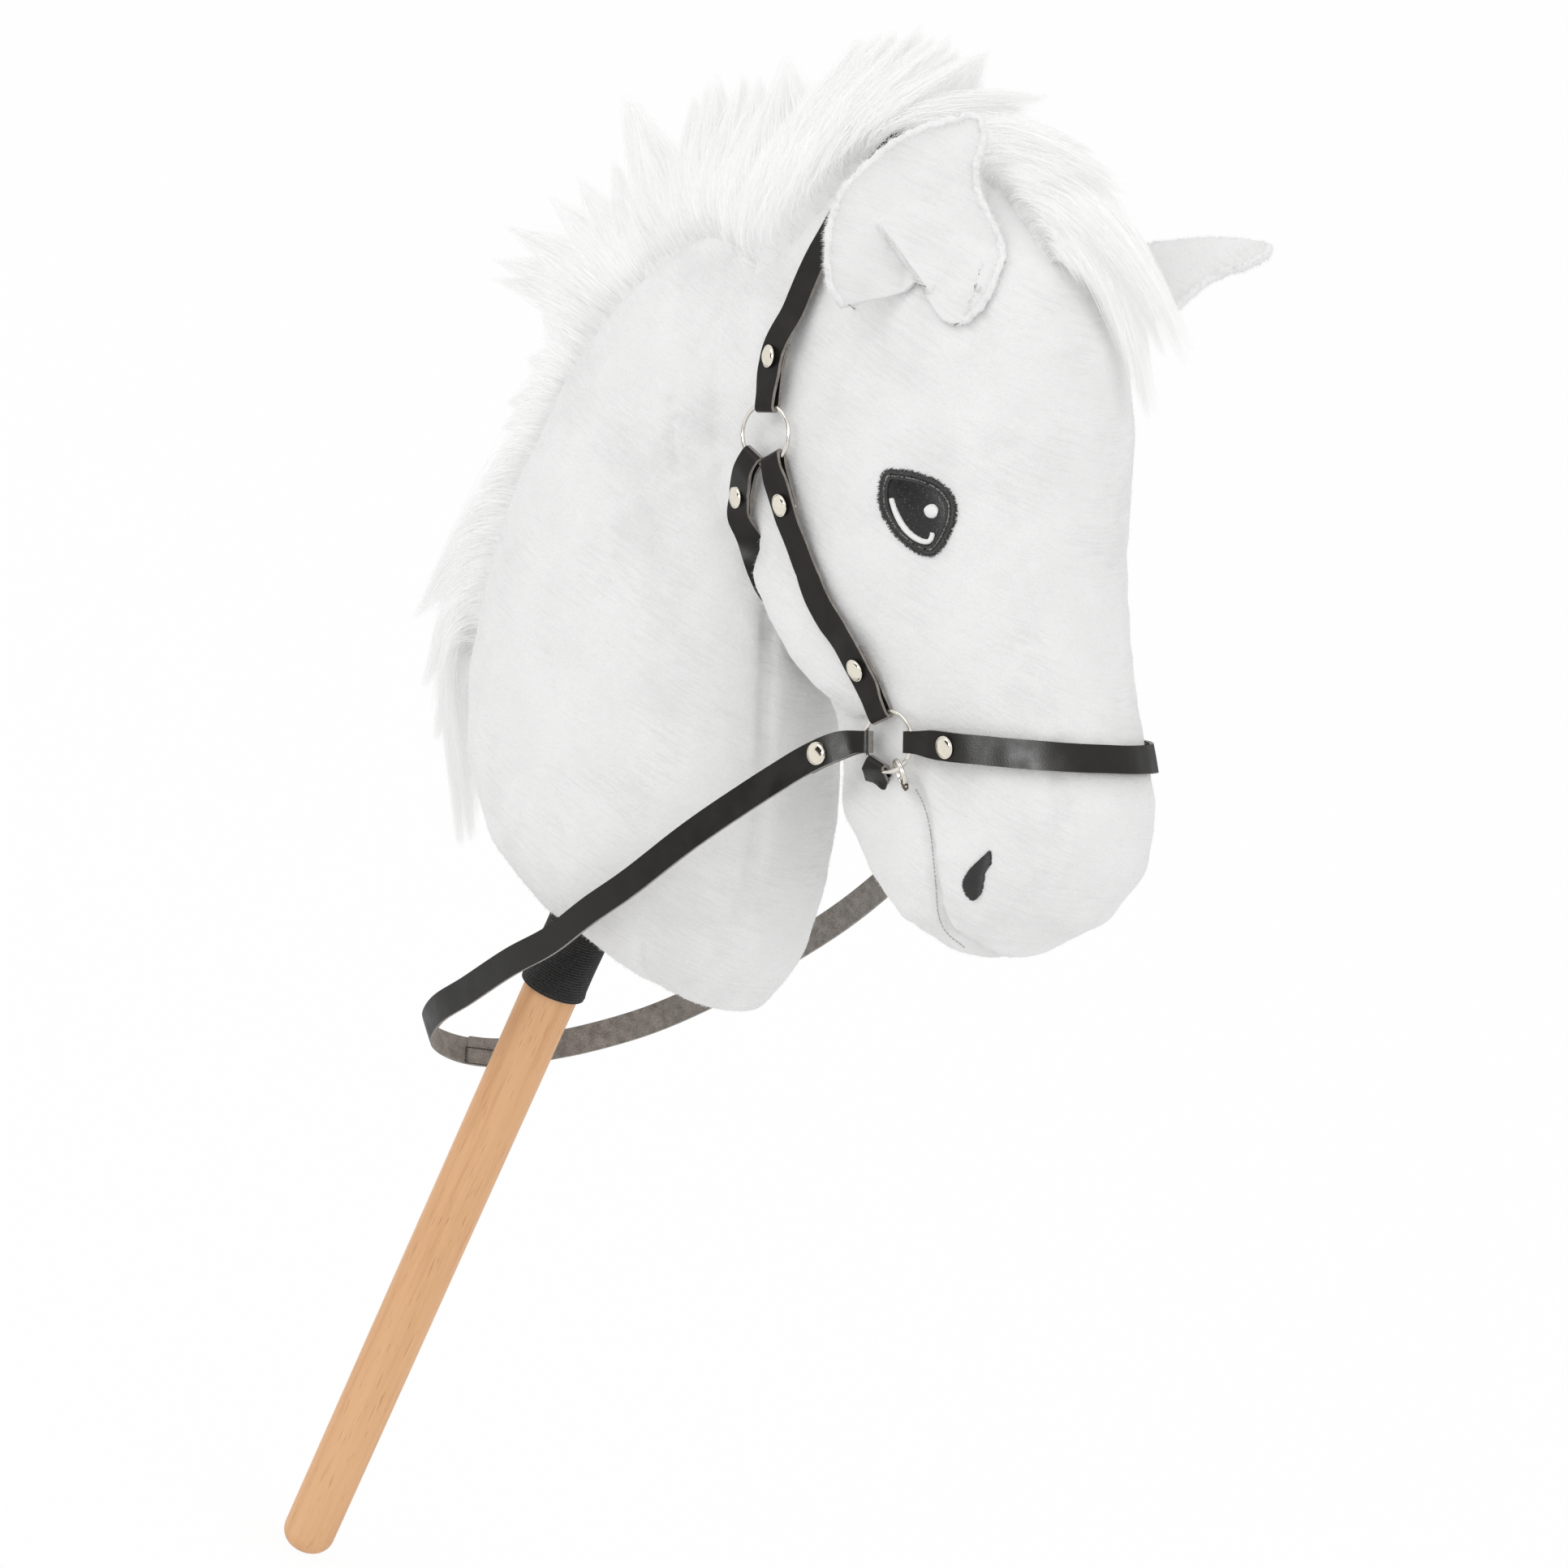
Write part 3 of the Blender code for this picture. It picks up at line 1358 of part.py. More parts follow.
def add_halter():
    """The rings and the straps round the head."""
    add_rings()
    add_links()
    top = TOP_ANGLES
    bit = BIT_ANGLES
    crown = round_strap("crown_strap", TOP_RING_AT, top["crown"], CROWN_FROM_RING, CROWN_OVER)
    round_strap("throat_strap", TOP_RING_AT, top["throat"], THROAT_FROM_RING, THROAT_UNDER)
    round_strap("noseband", BIT_RING_AT, bit["nose"], NOSE_FROM_RING, NOSE_OVER)
    round_strap("chin_strap", BIT_RING_AT, bit["chin"], CHIN_FROM_RING, CHIN_UNDER, HEAD_SKIN)
    cheek_strap()
    return crown


def build():
    add_stick_and_socket()
    add_panels()
    add_fillings()
    crown = add_halter()
    add_rein()
    add_eyes()
    add_nostrils()
    head_room = offset(HEAD_FORM, GAP, "head_room")
    neck_room = offset(NECK_FORM, GAP, "neck_room")
    add_ears(head_room)
    room_width = STRAP_WIDTH + 2 * LOCK_CLEARANCE
    room_height = 2 * (STRAP_THICKNESS + LAYER_GAP + LOCK_CLEARANCE)
    crown_rows = [(place, normal, way, room_width) for place, normal, way, _ in crown]
    crown_room = ribbon("crown_room", crown_rows, room_height)
    add_mane([neck_room, head_room.copy(), crown_room.copy()])
    add_forelock([head_room, crown_room])


build()
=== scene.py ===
"""The looks of a plush hobby horse: soft panels and pile, leather halter and rein, nickel
fittings and a wooden stick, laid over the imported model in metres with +Z up.

Places on the head are written in the head frame, which stands on the cuff's lower end and leans
back to the stick: +X forward, +Y to the horse's left, +Z up the face.
"""

import math
import random

import bmesh
import bpy
import numpy as np
from mathutils import Matrix, Vector, noise
from mathutils.bvhtree import BVHTree


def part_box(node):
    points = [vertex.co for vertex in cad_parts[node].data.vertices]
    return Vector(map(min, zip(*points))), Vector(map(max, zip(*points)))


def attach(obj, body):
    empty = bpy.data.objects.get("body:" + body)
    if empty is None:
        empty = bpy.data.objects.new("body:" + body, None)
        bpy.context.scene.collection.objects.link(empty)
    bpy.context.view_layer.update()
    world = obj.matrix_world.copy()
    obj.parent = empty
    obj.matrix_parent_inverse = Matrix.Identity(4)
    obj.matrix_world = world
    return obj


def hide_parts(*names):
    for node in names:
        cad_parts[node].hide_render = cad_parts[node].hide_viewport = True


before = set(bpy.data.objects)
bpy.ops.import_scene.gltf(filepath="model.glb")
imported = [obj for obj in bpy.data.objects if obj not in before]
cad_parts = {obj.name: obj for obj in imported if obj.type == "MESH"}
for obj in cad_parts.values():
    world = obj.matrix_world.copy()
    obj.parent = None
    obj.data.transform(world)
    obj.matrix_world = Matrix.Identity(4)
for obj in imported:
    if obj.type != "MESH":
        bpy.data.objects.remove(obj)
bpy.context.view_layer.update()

# The head frame, as the model sets it
STICK_SHOWN = 0.282
HEAD_TILT = math.radians(30.5)
HEAD = Matrix.Translation((0.0, 0.0, STICK_SHOWN)) @ Matrix.Rotation(-HEAD_TILT, 4, "Y")
HEAD_TURN = HEAD.to_3x3()
TO_HEAD = HEAD.inverted()

# The photograph's view in the head frame: a level look at 40 degrees to the face. The frame's middle
# is in millimetres to the right of the cuff's middle and above its lower end
VIEW_TURN = math.radians(40.0)
CAMERA_DISTANCE = 6.0
FRAME_WIDTH = 0.6665
FRAME_CENTRE = (98.4, 86.6)
SENSOR_WIDTH = 36.0
MM = 0.001

# Painted light: the pile glows in its own colour, standing in for what dense fibres scatter among
# themselves
PILE_GLOW = 0.20
PASSED_LIGHT = 0.40

random.seed(7)
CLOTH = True
SIDES = ("right", "left")


def head_point(u, v, w):
    """A place in the head frame, in world metres."""
    return HEAD @ Vector((u, v, w))


def head_way(u, v, w):
    return (HEAD_TURN @ Vector((u, v, w))).normalized()


VIEW_RIGHT = head_way(math.cos(VIEW_TURN), math.sin(VIEW_TURN), 0.0)
VIEW_UP = head_way(0.0, 0.0, 1.0)
VIEW_BACK = VIEW_RIGHT.cross(VIEW_UP)


def view_point(spot, depth):
    """A place in the photograph's view: millimetres right and up, and metres towards the camera."""
    right, up = spot
    return head_point(0.0, 0.0, 0.0) + (VIEW_RIGHT * right + VIEW_UP * up) * MM + VIEW_BACK * depth


CAMERA_PLACE = view_point(FRAME_CENTRE, CAMERA_DISTANCE)


# Materials


def set_inputs(node, values):
    """Sets a node's sockets by name, with underscores for spaces."""
    for socket, value in values.items():
        node.inputs[socket.replace("_", " ")].default_value = value


class NodeTree:
    """The nodes of a material or a world, with short calls for new ones."""

    def __init__(self, owner):
        owner.use_nodes = True
        self.nodes = owner.node_tree.nodes
        self.links = owner.node_tree.links

    def feed(self, socket, value):
        """Links an output to a socket, or sets the socket to a number or a colour."""
        if hasattr(value, "links"):
            self.links.new(value, socket)
        else:
            socket.default_value = value if isinstance(value, float) else (*value, 1.0)

    def ramp(self, value, *stops):
        """Colours by a value. Each stop is a position and a colour or a grey."""
        node = self.nodes.new("ShaderNodeValToRGB")
        elements = node.color_ramp.elements
        while len(elements) < len(stops):
            elements.new(0.5)
        for element, (position, colour) in zip(elements, stops):
            element.position = position
            element.color = (colour, colour, colour, 1.0) if isinstance(colour, float) else (*colour, 1.0)
        self.links.new(value, node.inputs["Fac"])
        return node.outputs["Color"]

    def mix(self, factor, first, second, blend="MIX"):
        node = self.nodes.new("ShaderNodeMix")
        node.data_type = "RGBA"
        node.blend_type = blend
        sockets = {socket.name: socket for socket in node.inputs if socket.enabled}
        for name, value in (("Factor", factor), ("A", first), ("B", second)):
            self.feed(sockets[name], value)
        return next(socket for socket in node.outputs if socket.enabled)

    def maths(self, operation, first, second):
        node = self.nodes.new("ShaderNodeMath")
        node.operation = operation
        self.feed(node.inputs[0], first)
        self.feed(node.inputs[1], second)
        return node.outputs["Value"]

    def shaders_mixed(self, factor, first, second, output="Material Output"):
        """Sends a blend of two shaders to the output."""
        node = self.nodes.new("ShaderNodeMixShader")
        self.feed(node.inputs[0], factor)
        self.links.new(first, node.inputs[1])
        self.links.new(second, node.inputs[2])
        self.links.new(node.outputs[0], self.nodes[output].inputs["Surface"])


class Finish(NodeTree):
    """A material under construction."""

    def __init__(self, name, **sockets):
        self.material = bpy.data.materials.new(name)
        super().__init__(self.material)
        self.shader = self.nodes["Principled BSDF"]
        set_inputs(self.shader, sockets)
        self.place = self.nodes.new("ShaderNodeTexCoord").outputs["Object"]

    def link(self, output, socket):
        self.links.new(output, self.shader.inputs[socket])

    def shade(self, socket, value, *stops):
        """Sends colours or greys by a value to one of the shader's sockets."""
        self.link(self.ramp(value, *stops), socket)

    def texture(self, kind, output, place=None, **values):
        node = self.nodes.new("ShaderNode" + kind)
        set_inputs(node, values)
        self.links.new(place or self.place, node.inputs["Vector"])
        return node.outputs[output]

    def stretched(self, scale, turn=(0.0, 0.0, 0.0)):
        return self.texture("Mapping", "Vector", Scale=scale, Rotation=turn)

    def noise(self, scale, detail=3.0, roughness=0.55, place=None, distortion=0.0):
        return self.texture("TexNoise", "Fac", place, Scale=scale, Detail=detail, Roughness=roughness,
                            Distortion=distortion)

    def cells(self, scale):
        return self.texture("TexVoronoi", "Distance", Scale=scale)

    def attribute(self, name):
        node = self.nodes.new("ShaderNodeAttribute")
        node.attribute_name = name
        return node.outputs["Fac"]

    def bump(self, height, strength, distance, under=None):
        node = self.nodes.new("ShaderNodeBump")
        set_inputs(node, {"Strength": strength, "Distance": distance})
        self.links.new(height, node.inputs["Height"])
        if under:
            self.links.new(under, node.inputs["Normal"])
        self.link(node.outputs["Normal"], "Normal")
        return node.outputs["Normal"]


def plush_finish(name, light, shade, nap=1.0):
    """Short pile: almost white, with a brushed nap and soft cloudy shading."""
    made = Finish(name, Roughness=1.0, Specular_IOR_Level=0.15, Sheen_Weight=0.35,
                  Sheen_Roughness=0.45)
    brushed = made.stretched((700.0, 1900.0, 1900.0), (0.0, HEAD_TILT, 0.15))
    fibres = made.noise(1.0, 4.0, 0.62, brushed)
    clouds = made.noise(38.0, 4.0, 0.6)
    clumps = made.cells(420.0)
    tone = made.mix(0.45, fibres, clouds)
    base = made.ramp(tone, (0.30, shade), (0.62, light))
    # Painted shade: short darker dashes along the nap where it parts, multiplied into the base colour
    along = made.stretched((70.0, 70.0, 900.0), (0.0, HEAD_TILT, 0.0))
    patches = made.maths("MULTIPLY", made.noise(1.0, 5.0, 0.72, along), made.noise(24.0, 2.0))
    painted_parting_shade = made.ramp(patches, (0.12, 0.915), (0.26, 1.0))
    made.link(made.mix(1.0, base, painted_parting_shade, "MULTIPLY"), "Base Color")
    height = made.maths("ADD", made.maths("MULTIPLY", clumps, 0.6), fibres)
    under = made.bump(clouds, 0.25 * nap, 0.002)
    made.bump(height, 0.55 * nap, 0.0006, under)
    return made.material


def leather_finish(name, colour, worn):
    """Satin strap leather: fine pebbled grain, slight wear in soft random patches."""
    made = Finish(name, Roughness=0.42, Specular_IOR_Level=0.24)
    pebbles = made.cells(1500.0)
    pores = made.noise(2600.0, 3.0)
    clouds = made.noise(90.0, 4.0, 0.6)
    made.shade("Base Color", clouds, (0.35, colour), (0.75, worn))
    made.shade("Roughness", clouds, (0.3, 0.36), (0.7, 0.52))
    made.bump(made.mix(0.4, pebbles, pores), 0.28, 0.0002)
    return made.material


def suede_finish(name, dark, light):
    """The fuzzy cut edge and inside of the leather."""
    made = Finish(name, Roughness=0.95, Specular_IOR_Level=0.1, Sheen_Weight=0.4)
    fuzz = made.noise(2300.0, 4.0, 0.7)
    clouds = made.noise(240.0, 3.0)
    made.shade("Base Color", made.mix(0.35, fuzz, clouds), (0.36, dark), (0.62, light))
    made.bump(fuzz, 0.8, 0.0004)
    return made.material


def metal_finish(name, colour, roughness):
    """Nickel plate with faint handling marks."""
    made = Finish(name, Metallic=1.0)
    marks = made.noise(620.0, 4.0, 0.6)
    clouds = made.noise(140.0, 3.0)
    tint = tuple(channel * 0.86 for channel in colour)
    made.shade("Base Color", clouds, (0.3, tint), (0.7, colour))
    low, high = roughness
    made.shade("Roughness", marks, (0.35, low), (0.75, high))
    made.bump(marks, 0.04, 0.0001)
    return made.material


WOOD_LIGHT = (0.800, 0.480, 0.255)
WOOD_MIDDLE = (0.740, 0.420, 0.213)
WOOD_DARK = (0.610, 0.320, 0.150)


def wood_finish(name):
    """Pale hardwood dowel: soft straight grain along the stick with short dark pores."""
    made = Finish(name, Specular_IOR_Level=0.35)
    along = made.stretched((1.0, 1.0, 0.035))
    figure = made.noise(210.0, 4.0, 0.5, along, 0.6)
    fine = made.noise(900.0, 5.0, 0.62, made.stretched((1.0, 1.0, 0.045)))
    broad = made.noise(45.0, 3.0, 0.5, made.stretched((1.0, 1.0, 0.12)))
    grain = made.mix(0.40, made.mix(0.40, figure, fine), broad)
    base = made.ramp(grain, (0.34, WOOD_DARK), (0.48, WOOD_MIDDLE), (0.64, WOOD_LIGHT))
    pores = made.noise(1500.0, 2.0, 0.4, made.stretched((1.0, 1.0, 0.06)))
    flecks = made.ramp(pores, (0.29, (0.78, 0.72, 0.66)), (0.34, 1.0))
    made.link(made.mix(1.0, base, flecks, "MULTIPLY"), "Base Color")
    made.shade("Roughness", fine, (0.3, 0.40), (0.7, 0.55))
    made.bump(made.mix(0.5, fine, pores), 0.18, 0.0003)
    return made.material


def elastic_finish(name):
    """Black ribbed elastic: a knitted face with a little lint."""
    made = Finish(name, Roughness=0.85, Specular_IOR_Level=0.2, Sheen_Weight=0.25)
    knit = made.cells(1500.0)
    lint = made.noise(1700.0, 3.0, 0.7)
    made.shade("Base Color", lint, (0.45, (0.010, 0.0095, 0.0095)), (0.74, (0.055, 0.052, 0.050)))
    made.bump(knit, 0.7, 0.0004)
    return made.material


def thread_finish(name, colour, light, gloss=0.45):
    made = Finish(name, Roughness=gloss, Specular_IOR_Level=0.4, Sheen_Weight=0.2)
    strands = made.noise(3000.0, 3.0, 0.6)
    made.shade("Base Color", strands, (0.35, colour), (0.7, light))
    made.bump(strands, 0.4, 0.0002)
    return made.material


def eye_finish(name):
    """Glossy black leatherette with a fine emboss."""
    made = Finish(name, Roughness=0.34, Specular_IOR_Level=0.35, Coat_Weight=0.10)
    emboss = made.cells(1300.0)
    clouds = made.noise(300.0, 3.0)
    base = made.ramp(clouds, (0.3, (0.004, 0.004, 0.0045)), (0.7, (0.012, 0.012, 0.013)))
    specks = made.ramp(made.noise(2400.0, 2.0), (0.66, 0.0), (0.72, 0.30))
    made.link(made.mix(1.0, base, specks, "ADD"), "Base Color")
    made.bump(emboss, 0.25, 0.0002)
    return made.material


def pile_finish(name, root, tip):
    """Long white fibres that pass light on to each other, with painted root shade and a painted glow."""
    made = Finish(name, Roughness=0.75, Specular_IOR_Level=0.25, Emission_Strength=PILE_GLOW)
    share = made.attribute("share")
    tone = made.attribute("tone")
    # Painted shade: the fibres go from grey at their roots to white towards their tips
    shade = made.ramp(share, (0.0, root), (0.45, tip))
    vary = made.ramp(tone, (0.0, 0.90), (1.0, 1.0))
    colour = made.mix(1.0, shade, vary, "MULTIPLY")
    made.link(colour, "Base Color")
    # Painted light: the fibres glow in their own colour at PILE_GLOW strength
    made.link(colour, "Emission Color")
    passed = made.nodes.new("ShaderNodeBsdfTranslucent")
    made.links.new(colour, passed.inputs["Color"])
    made.shaders_mixed(PASSED_LIGHT, made.shader.outputs[0], passed.outputs[0])
    return made.material


PLUSH = plush_finish("white_plush", (0.900, 0.900, 0.897), (0.820, 0.820, 0.817))
FUZZ = plush_finish("white_plush_fuzz", (0.920, 0.920, 0.917), (0.860, 0.860, 0.857), 0.1)
LINING = plush_finish("white_lining", (0.875, 0.875, 0.872), (0.805, 0.805, 0.802), 0.5)
LEATHER = leather_finish("strap_leather", (0.0060, 0.0050, 0.0041), (0.013, 0.0110, 0.0090))
SUEDE = suede_finish("strap_suede", (0.120, 0.105, 0.092), (0.360, 0.330, 0.300))
NICKEL = metal_finish("nickel", (0.78, 0.75, 0.69), (0.10, 0.20))
RIVET_PLATE = metal_finish("rivet_plate", (0.82, 0.77, 0.66), (0.09, 0.17))
WOOD = wood_finish("dowel_wood")
ELASTIC = elastic_finish("black_elastic")
BLACK_THREAD = thread_finish("black_thread", (0.006, 0.006, 0.006), (0.022, 0.020, 0.018), 0.5)
WHITE_THREAD = thread_finish("white_thread", (0.82, 0.82, 0.81), (0.95, 0.95, 0.94), 0.6)
BROWN_THREAD = thread_finish("brown_thread", (0.060, 0.030, 0.014), (0.16, 0.085, 0.045), 0.7)
GREY_THREAD = thread_finish("grey_thread", (0.30, 0.29, 0.28), (0.55, 0.54, 0.52), 0.7)
EYE_BLACK = eye_finish("black_leatherette")
# The long pile's first colour is painted shade at the fibres' roots
PILE = pile_finish("white_long_pile", (0.83, 0.83, 0.828), (0.943, 0.943, 0.941))
PLASTIC = thread_finish("tube_plastic", (0.16, 0.16, 0.16), (0.22, 0.22, 0.22), 0.45)


# Meshes and pieces

MERGE_DISTANCE = 0.000002


def new_object(name, data):
    obj = bpy.data.objects.new(name, data)
    bpy.context.scene.collection.objects.link(obj)
    return obj


def add_piece(name, mesh, body, finishes, replaced=()):
    """An object that rides on a body, with its finishes and the nodes that it stands for."""
    obj = new_object(name, mesh)
    for finish in finishes:
        mesh.materials.append(finish)
    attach(obj, body)
    if replaced:
        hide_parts(*replaced)
    return obj


def finished(mesh, angle=None):
    mesh.shade_smooth()
    if angle:
        mesh.set_sharp_from_angle(angle=math.radians(angle))
    return mesh


def mesh_from(name, work, angle=None):
    mesh = bpy.data.meshes.new(name)
    work.to_mesh(mesh)
    work.free()
    return finished(mesh, angle)


def mesh_of(name, places, faces, **marks):
    """A mesh of arrays of places and faces, with a number for each vertex under each mark's name."""
    mesh = bpy.data.meshes.new(name)
    mesh.from_pydata(places.reshape(-1, 3).tolist(), [], faces.reshape(-1, faces.shape[-1]).tolist())
    for mark, values in marks.items():
        mesh.attributes.new(mark, "FLOAT", "POINT").data.foreach_set("value", values)
    return finished(mesh)


def opened(*meshes):
    work = bmesh.new()
    for mesh in meshes:
        work.from_mesh(mesh)
    return work


def node_mesh(*names):
    """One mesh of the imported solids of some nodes, in world metres."""
    work = opened(*(bpy.data.objects[name].data for name in names))
    bmesh.ops.remove_doubles(work, verts=work.verts, dist=MERGE_DISTANCE)
    mesh = bpy.data.meshes.new(names[0] + "_copy")
    work.to_mesh(mesh)
    work.free()
    return mesh


def with_modifiers(mesh, *steps):
    """The mesh after modifiers, each given as (type, settings)."""
    obj = new_object("work", mesh)
    for kind, settings in steps:
        step = obj.modifiers.new(kind.lower(), kind)
        for key, value in settings.items():
            setattr(step, key, value)
    bpy.context.view_layer.update()
    graph = bpy.context.evaluated_depsgraph_get()
    result = bpy.data.meshes.new_from_object(obj.evaluated_get(graph), depsgraph=graph)
    bpy.data.objects.remove(obj, do_unlink=True)
    return result


def rounded_edges(width, segments, bend):
    """The modifier that rounds the edges that bend by more than some degrees."""
    return ("BEVEL", {"width": width, "segments": segments, "limit_method": "ANGLE",
                      "angle_limit": math.radians(bend)})


def finer(levels):
    return ("SUBSURF", {"levels": levels, "render_levels": levels})


def tree_of(mesh):
    work = opened(mesh)
    tree = BVHTree.FromBMesh(work)
    work.free()
    return tree


def read(items, name, width=3):
    """One value of every vertex, edge or face of a mesh, as an array with a row for each."""
    values = np.empty(len(items) * width, np.int64 if name == "vertices" else float)
    items.foreach_get(name, values)
    return values.reshape(-1, width)


def vertex_places(mesh):
    return read(mesh.vertices, "co")


def put_places(mesh, places):
    mesh.vertices.foreach_set("co", places.ravel())
    mesh.update()


def carried(places, matrix):
    turn = np.array(matrix)
    return places @ turn[:3, :3].T + turn[:3, 3]


def unit(ways):
    return ways / np.linalg.norm(ways, axis=-1, keepdims=True)


def smooth_ramp(low, high, values):
    share = np.clip((values - low) / (high - low), 0.0, 1.0)
    return share * share * (3.0 - 2.0 * share)


def bell(values, width):
    return np.exp(-(values / width) ** 2)


def angles_round(sides):
    return [2 * math.pi * step / sides for step in range(sides)]


def add_ring(work, centre, first, second, sides):
    """Vertices round a centre, on the ellipse that two half axes span."""
    return [work.verts.new(centre + first * math.cos(angle) + second * math.sin(angle))
            for angle in angles_round(sides)]


def mesh_through(name, work, rings, closed=False, capped=False, angle=None):
    """The mesh that runs from ring to ring of vertices. A ring may be a single vertex."""
    for ring, following in zip(rings, rings[1:] + rings[:1] if closed else rings[1:]):
        sides = max(len(ring), len(following))
        for step in range(sides):
            after = (step + 1) % sides
            corners = (ring[step % len(ring)], ring[after % len(ring)],
                       following[after % len(following)], following[step % len(following)])
            work.faces.new(tuple(dict.fromkeys(corners)))
    if capped:
        work.faces.new(rings[0])
        work.faces.new(rings[-1][::-1])
    bmesh.ops.recalc_face_normals(work, faces=work.faces)
    return mesh_from(name, work, angle)


# Stuffed head and neck

PANELS = ("head_side_right", "head_side_left", "face_gusset", "jaw_gusset", "neck_side_right",
          "neck_side_left", "chest_gusset")
FILLINGS = ("head_filling", "neck_filling")
VOXEL = 0.0030
SEAM_WIDTH = 0.0026
SWELL_CAP = 0.0035
CLOTH_ROOM = 0.0015
CLOTH_FRAMES = 20
CLOTH_SETTINGS = {
    "quality": 6, "mass": 0.3, "tension_stiffness": 14.0, "compression_stiffness": 14.0,
    "shear_stiffness": 5.0, "bending_stiffness": 0.8, "use_pressure": True,
    "uniform_pressure_force": 4.0, "vertex_group_mass": "seams",
}

# Sewn lines on each side in side view
MOUTH_SEAM = ((0.2355, 0.0885), (0.2426, 0.0750), (0.2450, 0.0545), (0.2428, 0.0370),
              (0.2440, 0.0265), (0.2480, 0.0170), (0.2490, -0.0100))
CHEEK_DARTS = (
    ((0.1050, 0.2470), (0.1085, 0.2400), (0.1250, 0.2290)),
    ((0.1085, 0.2400), (0.1060, 0.2310), (0.1095, 0.2160)),
)
NECK_DART = ((0.0830, 0.0200), (0.0640, -0.0060), (0.0600, -0.0120))

# Each sewn groove's depth and width, then the height, fineness and reach of the puckers beside it
PANEL_GROOVE = (0.0015, SEAM_WIDTH, 0.0010, 110.0, 0.013)
MOUTH_GROOVE = (0.0036, 0.0026, 0.0012, 150.0, 0.012)
DART_GROOVE = (0.0016, 0.0020, 0.0009, 170.0, 0.010)
NECK_GROOVE = (0.0014, 0.0022)
LIP_AT = 0.2445
LIP_OFF = 0.010
LIP_SWELL = 0.0016
STUFFING_WAVES = 0.0014

# The cheek's rear edge on each side in side view, with how far it swells out over the throat strap
CHEEK_EDGE = ((0.1210, 0.2270, 0.0), (0.1270, 0.2060, 0.0012), (0.1375, 0.1840, 0.0025),
              (0.1465, 0.1740, 0.0070), (0.1574, 0.1559, 0.0095), (0.1678, 0.1400, 0.0095),
              (0.1813, 0.1266, 0.0070), (0.1993, 0.1145, 0.0015))

# The soft swell of each jaw's plush over the chin strap: middle and reach in side view, and rise
JAW_SWELL_AT = (0.1920, 0.0780)
JAW_SWELL_REACH = (0.0200, 0.0150)
JAW_SWELL = 0.0070

# Where the neck's step to the head is smoothed out, in side view: from CREASE_TOP upwards, behind
# the face and ahead of the crest
CREASE_TOP = (0.232, 0.262)
CREASE_AHEAD = (0.165, 0.215)
CREASE_BEHIND = (0.045, 0.075)

# How far aside of the middle the darts, the cheek's swell and its edge begin and are full
DART_FLANK = (0.004, 0.016)
CHEEK_FLANK = (0.012, 0.030)
CHEEK_FRONT = (-0.0025, 0.0035)
CHEEK_FADE = (0.010, 0.050)

# The soft crease behind each cheek: depth, width and how far behind the cheek's edge
CHEEK_CREASE = (0.0022, 0.0040, 0.0045)
CHEEK_DRAWN_BACK = 0.45
RELAX_STEP = 0.6
RELAX_ROUNDS = 90


def closed_skin(nodes):
    """One closed smooth skin round some nodes."""
    return with_modifiers(
        node_mesh(*nodes),
        ("REMESH", {"mode": "VOXEL", "voxel_size": VOXEL}),
        ("SMOOTH", {"factor": 0.5, "iterations": 10}),
    )


def relaxed(mesh, mask):
    """Smooths the skin where the mask is high."""
    edges = read(mesh.edges, "vertices", 2)
    places = vertex_places(mesh)
    count = len(places)
    valence = np.bincount(edges.ravel(), minlength=count).astype(float)
    for _ in range(RELAX_ROUNDS):
        total = np.empty((count, 3))
        for axis in range(3):
            total[:, axis] = np.bincount(edges[:, 0], places[edges[:, 1], axis], count)
            total[:, axis] += np.bincount(edges[:, 1], places[edges[:, 0], axis], count)
        middle = total / valence[:, None]
        places += (middle - places) * (RELAX_STEP * mask)[:, None]
    put_places(mesh, places)


def joined_crown(mesh):
    """Takes out the step between head and neck above the cheek, where one panel runs over both."""
    local = carried(vertex_places(mesh), TO_HEAD)
    height = smooth_ramp(*CREASE_TOP, local[:, 2])
    ahead = 1.0 - smooth_ramp(*CREASE_AHEAD, local[:, 0])
    behind = smooth_ramp(*CREASE_BEHIND, local[:, 0])
    relaxed(mesh, height * ahead * behind)


def line_distance(points, line):
    """How far each point in side view is from a line through some places."""
    line = np.array(line)
    best = np.full(len(points), 1.0)
    for start, end in zip(line, line[1:]):
        way = end - start
        share = np.clip((points - start) @ way / (way @ way), 0.0, 1.0)
        gap = np.linalg.norm(points - (start + share[:, None] * way), axis=1)
        best = np.minimum(best, gap)
    return best


def panel_seams(mesh):
    """For each vertex, how much nearer the nearest panel is than the next: nothing at a seam."""
    trees = [tree_of(node_mesh(panel)) for panel in PANELS]
    distances = []
    for vertex in mesh.vertices:
        nearest = sorted(tree.find_nearest(vertex.co)[3] for tree in trees)
        distances.append(nearest[1] - nearest[0])
    return np.array(distances)


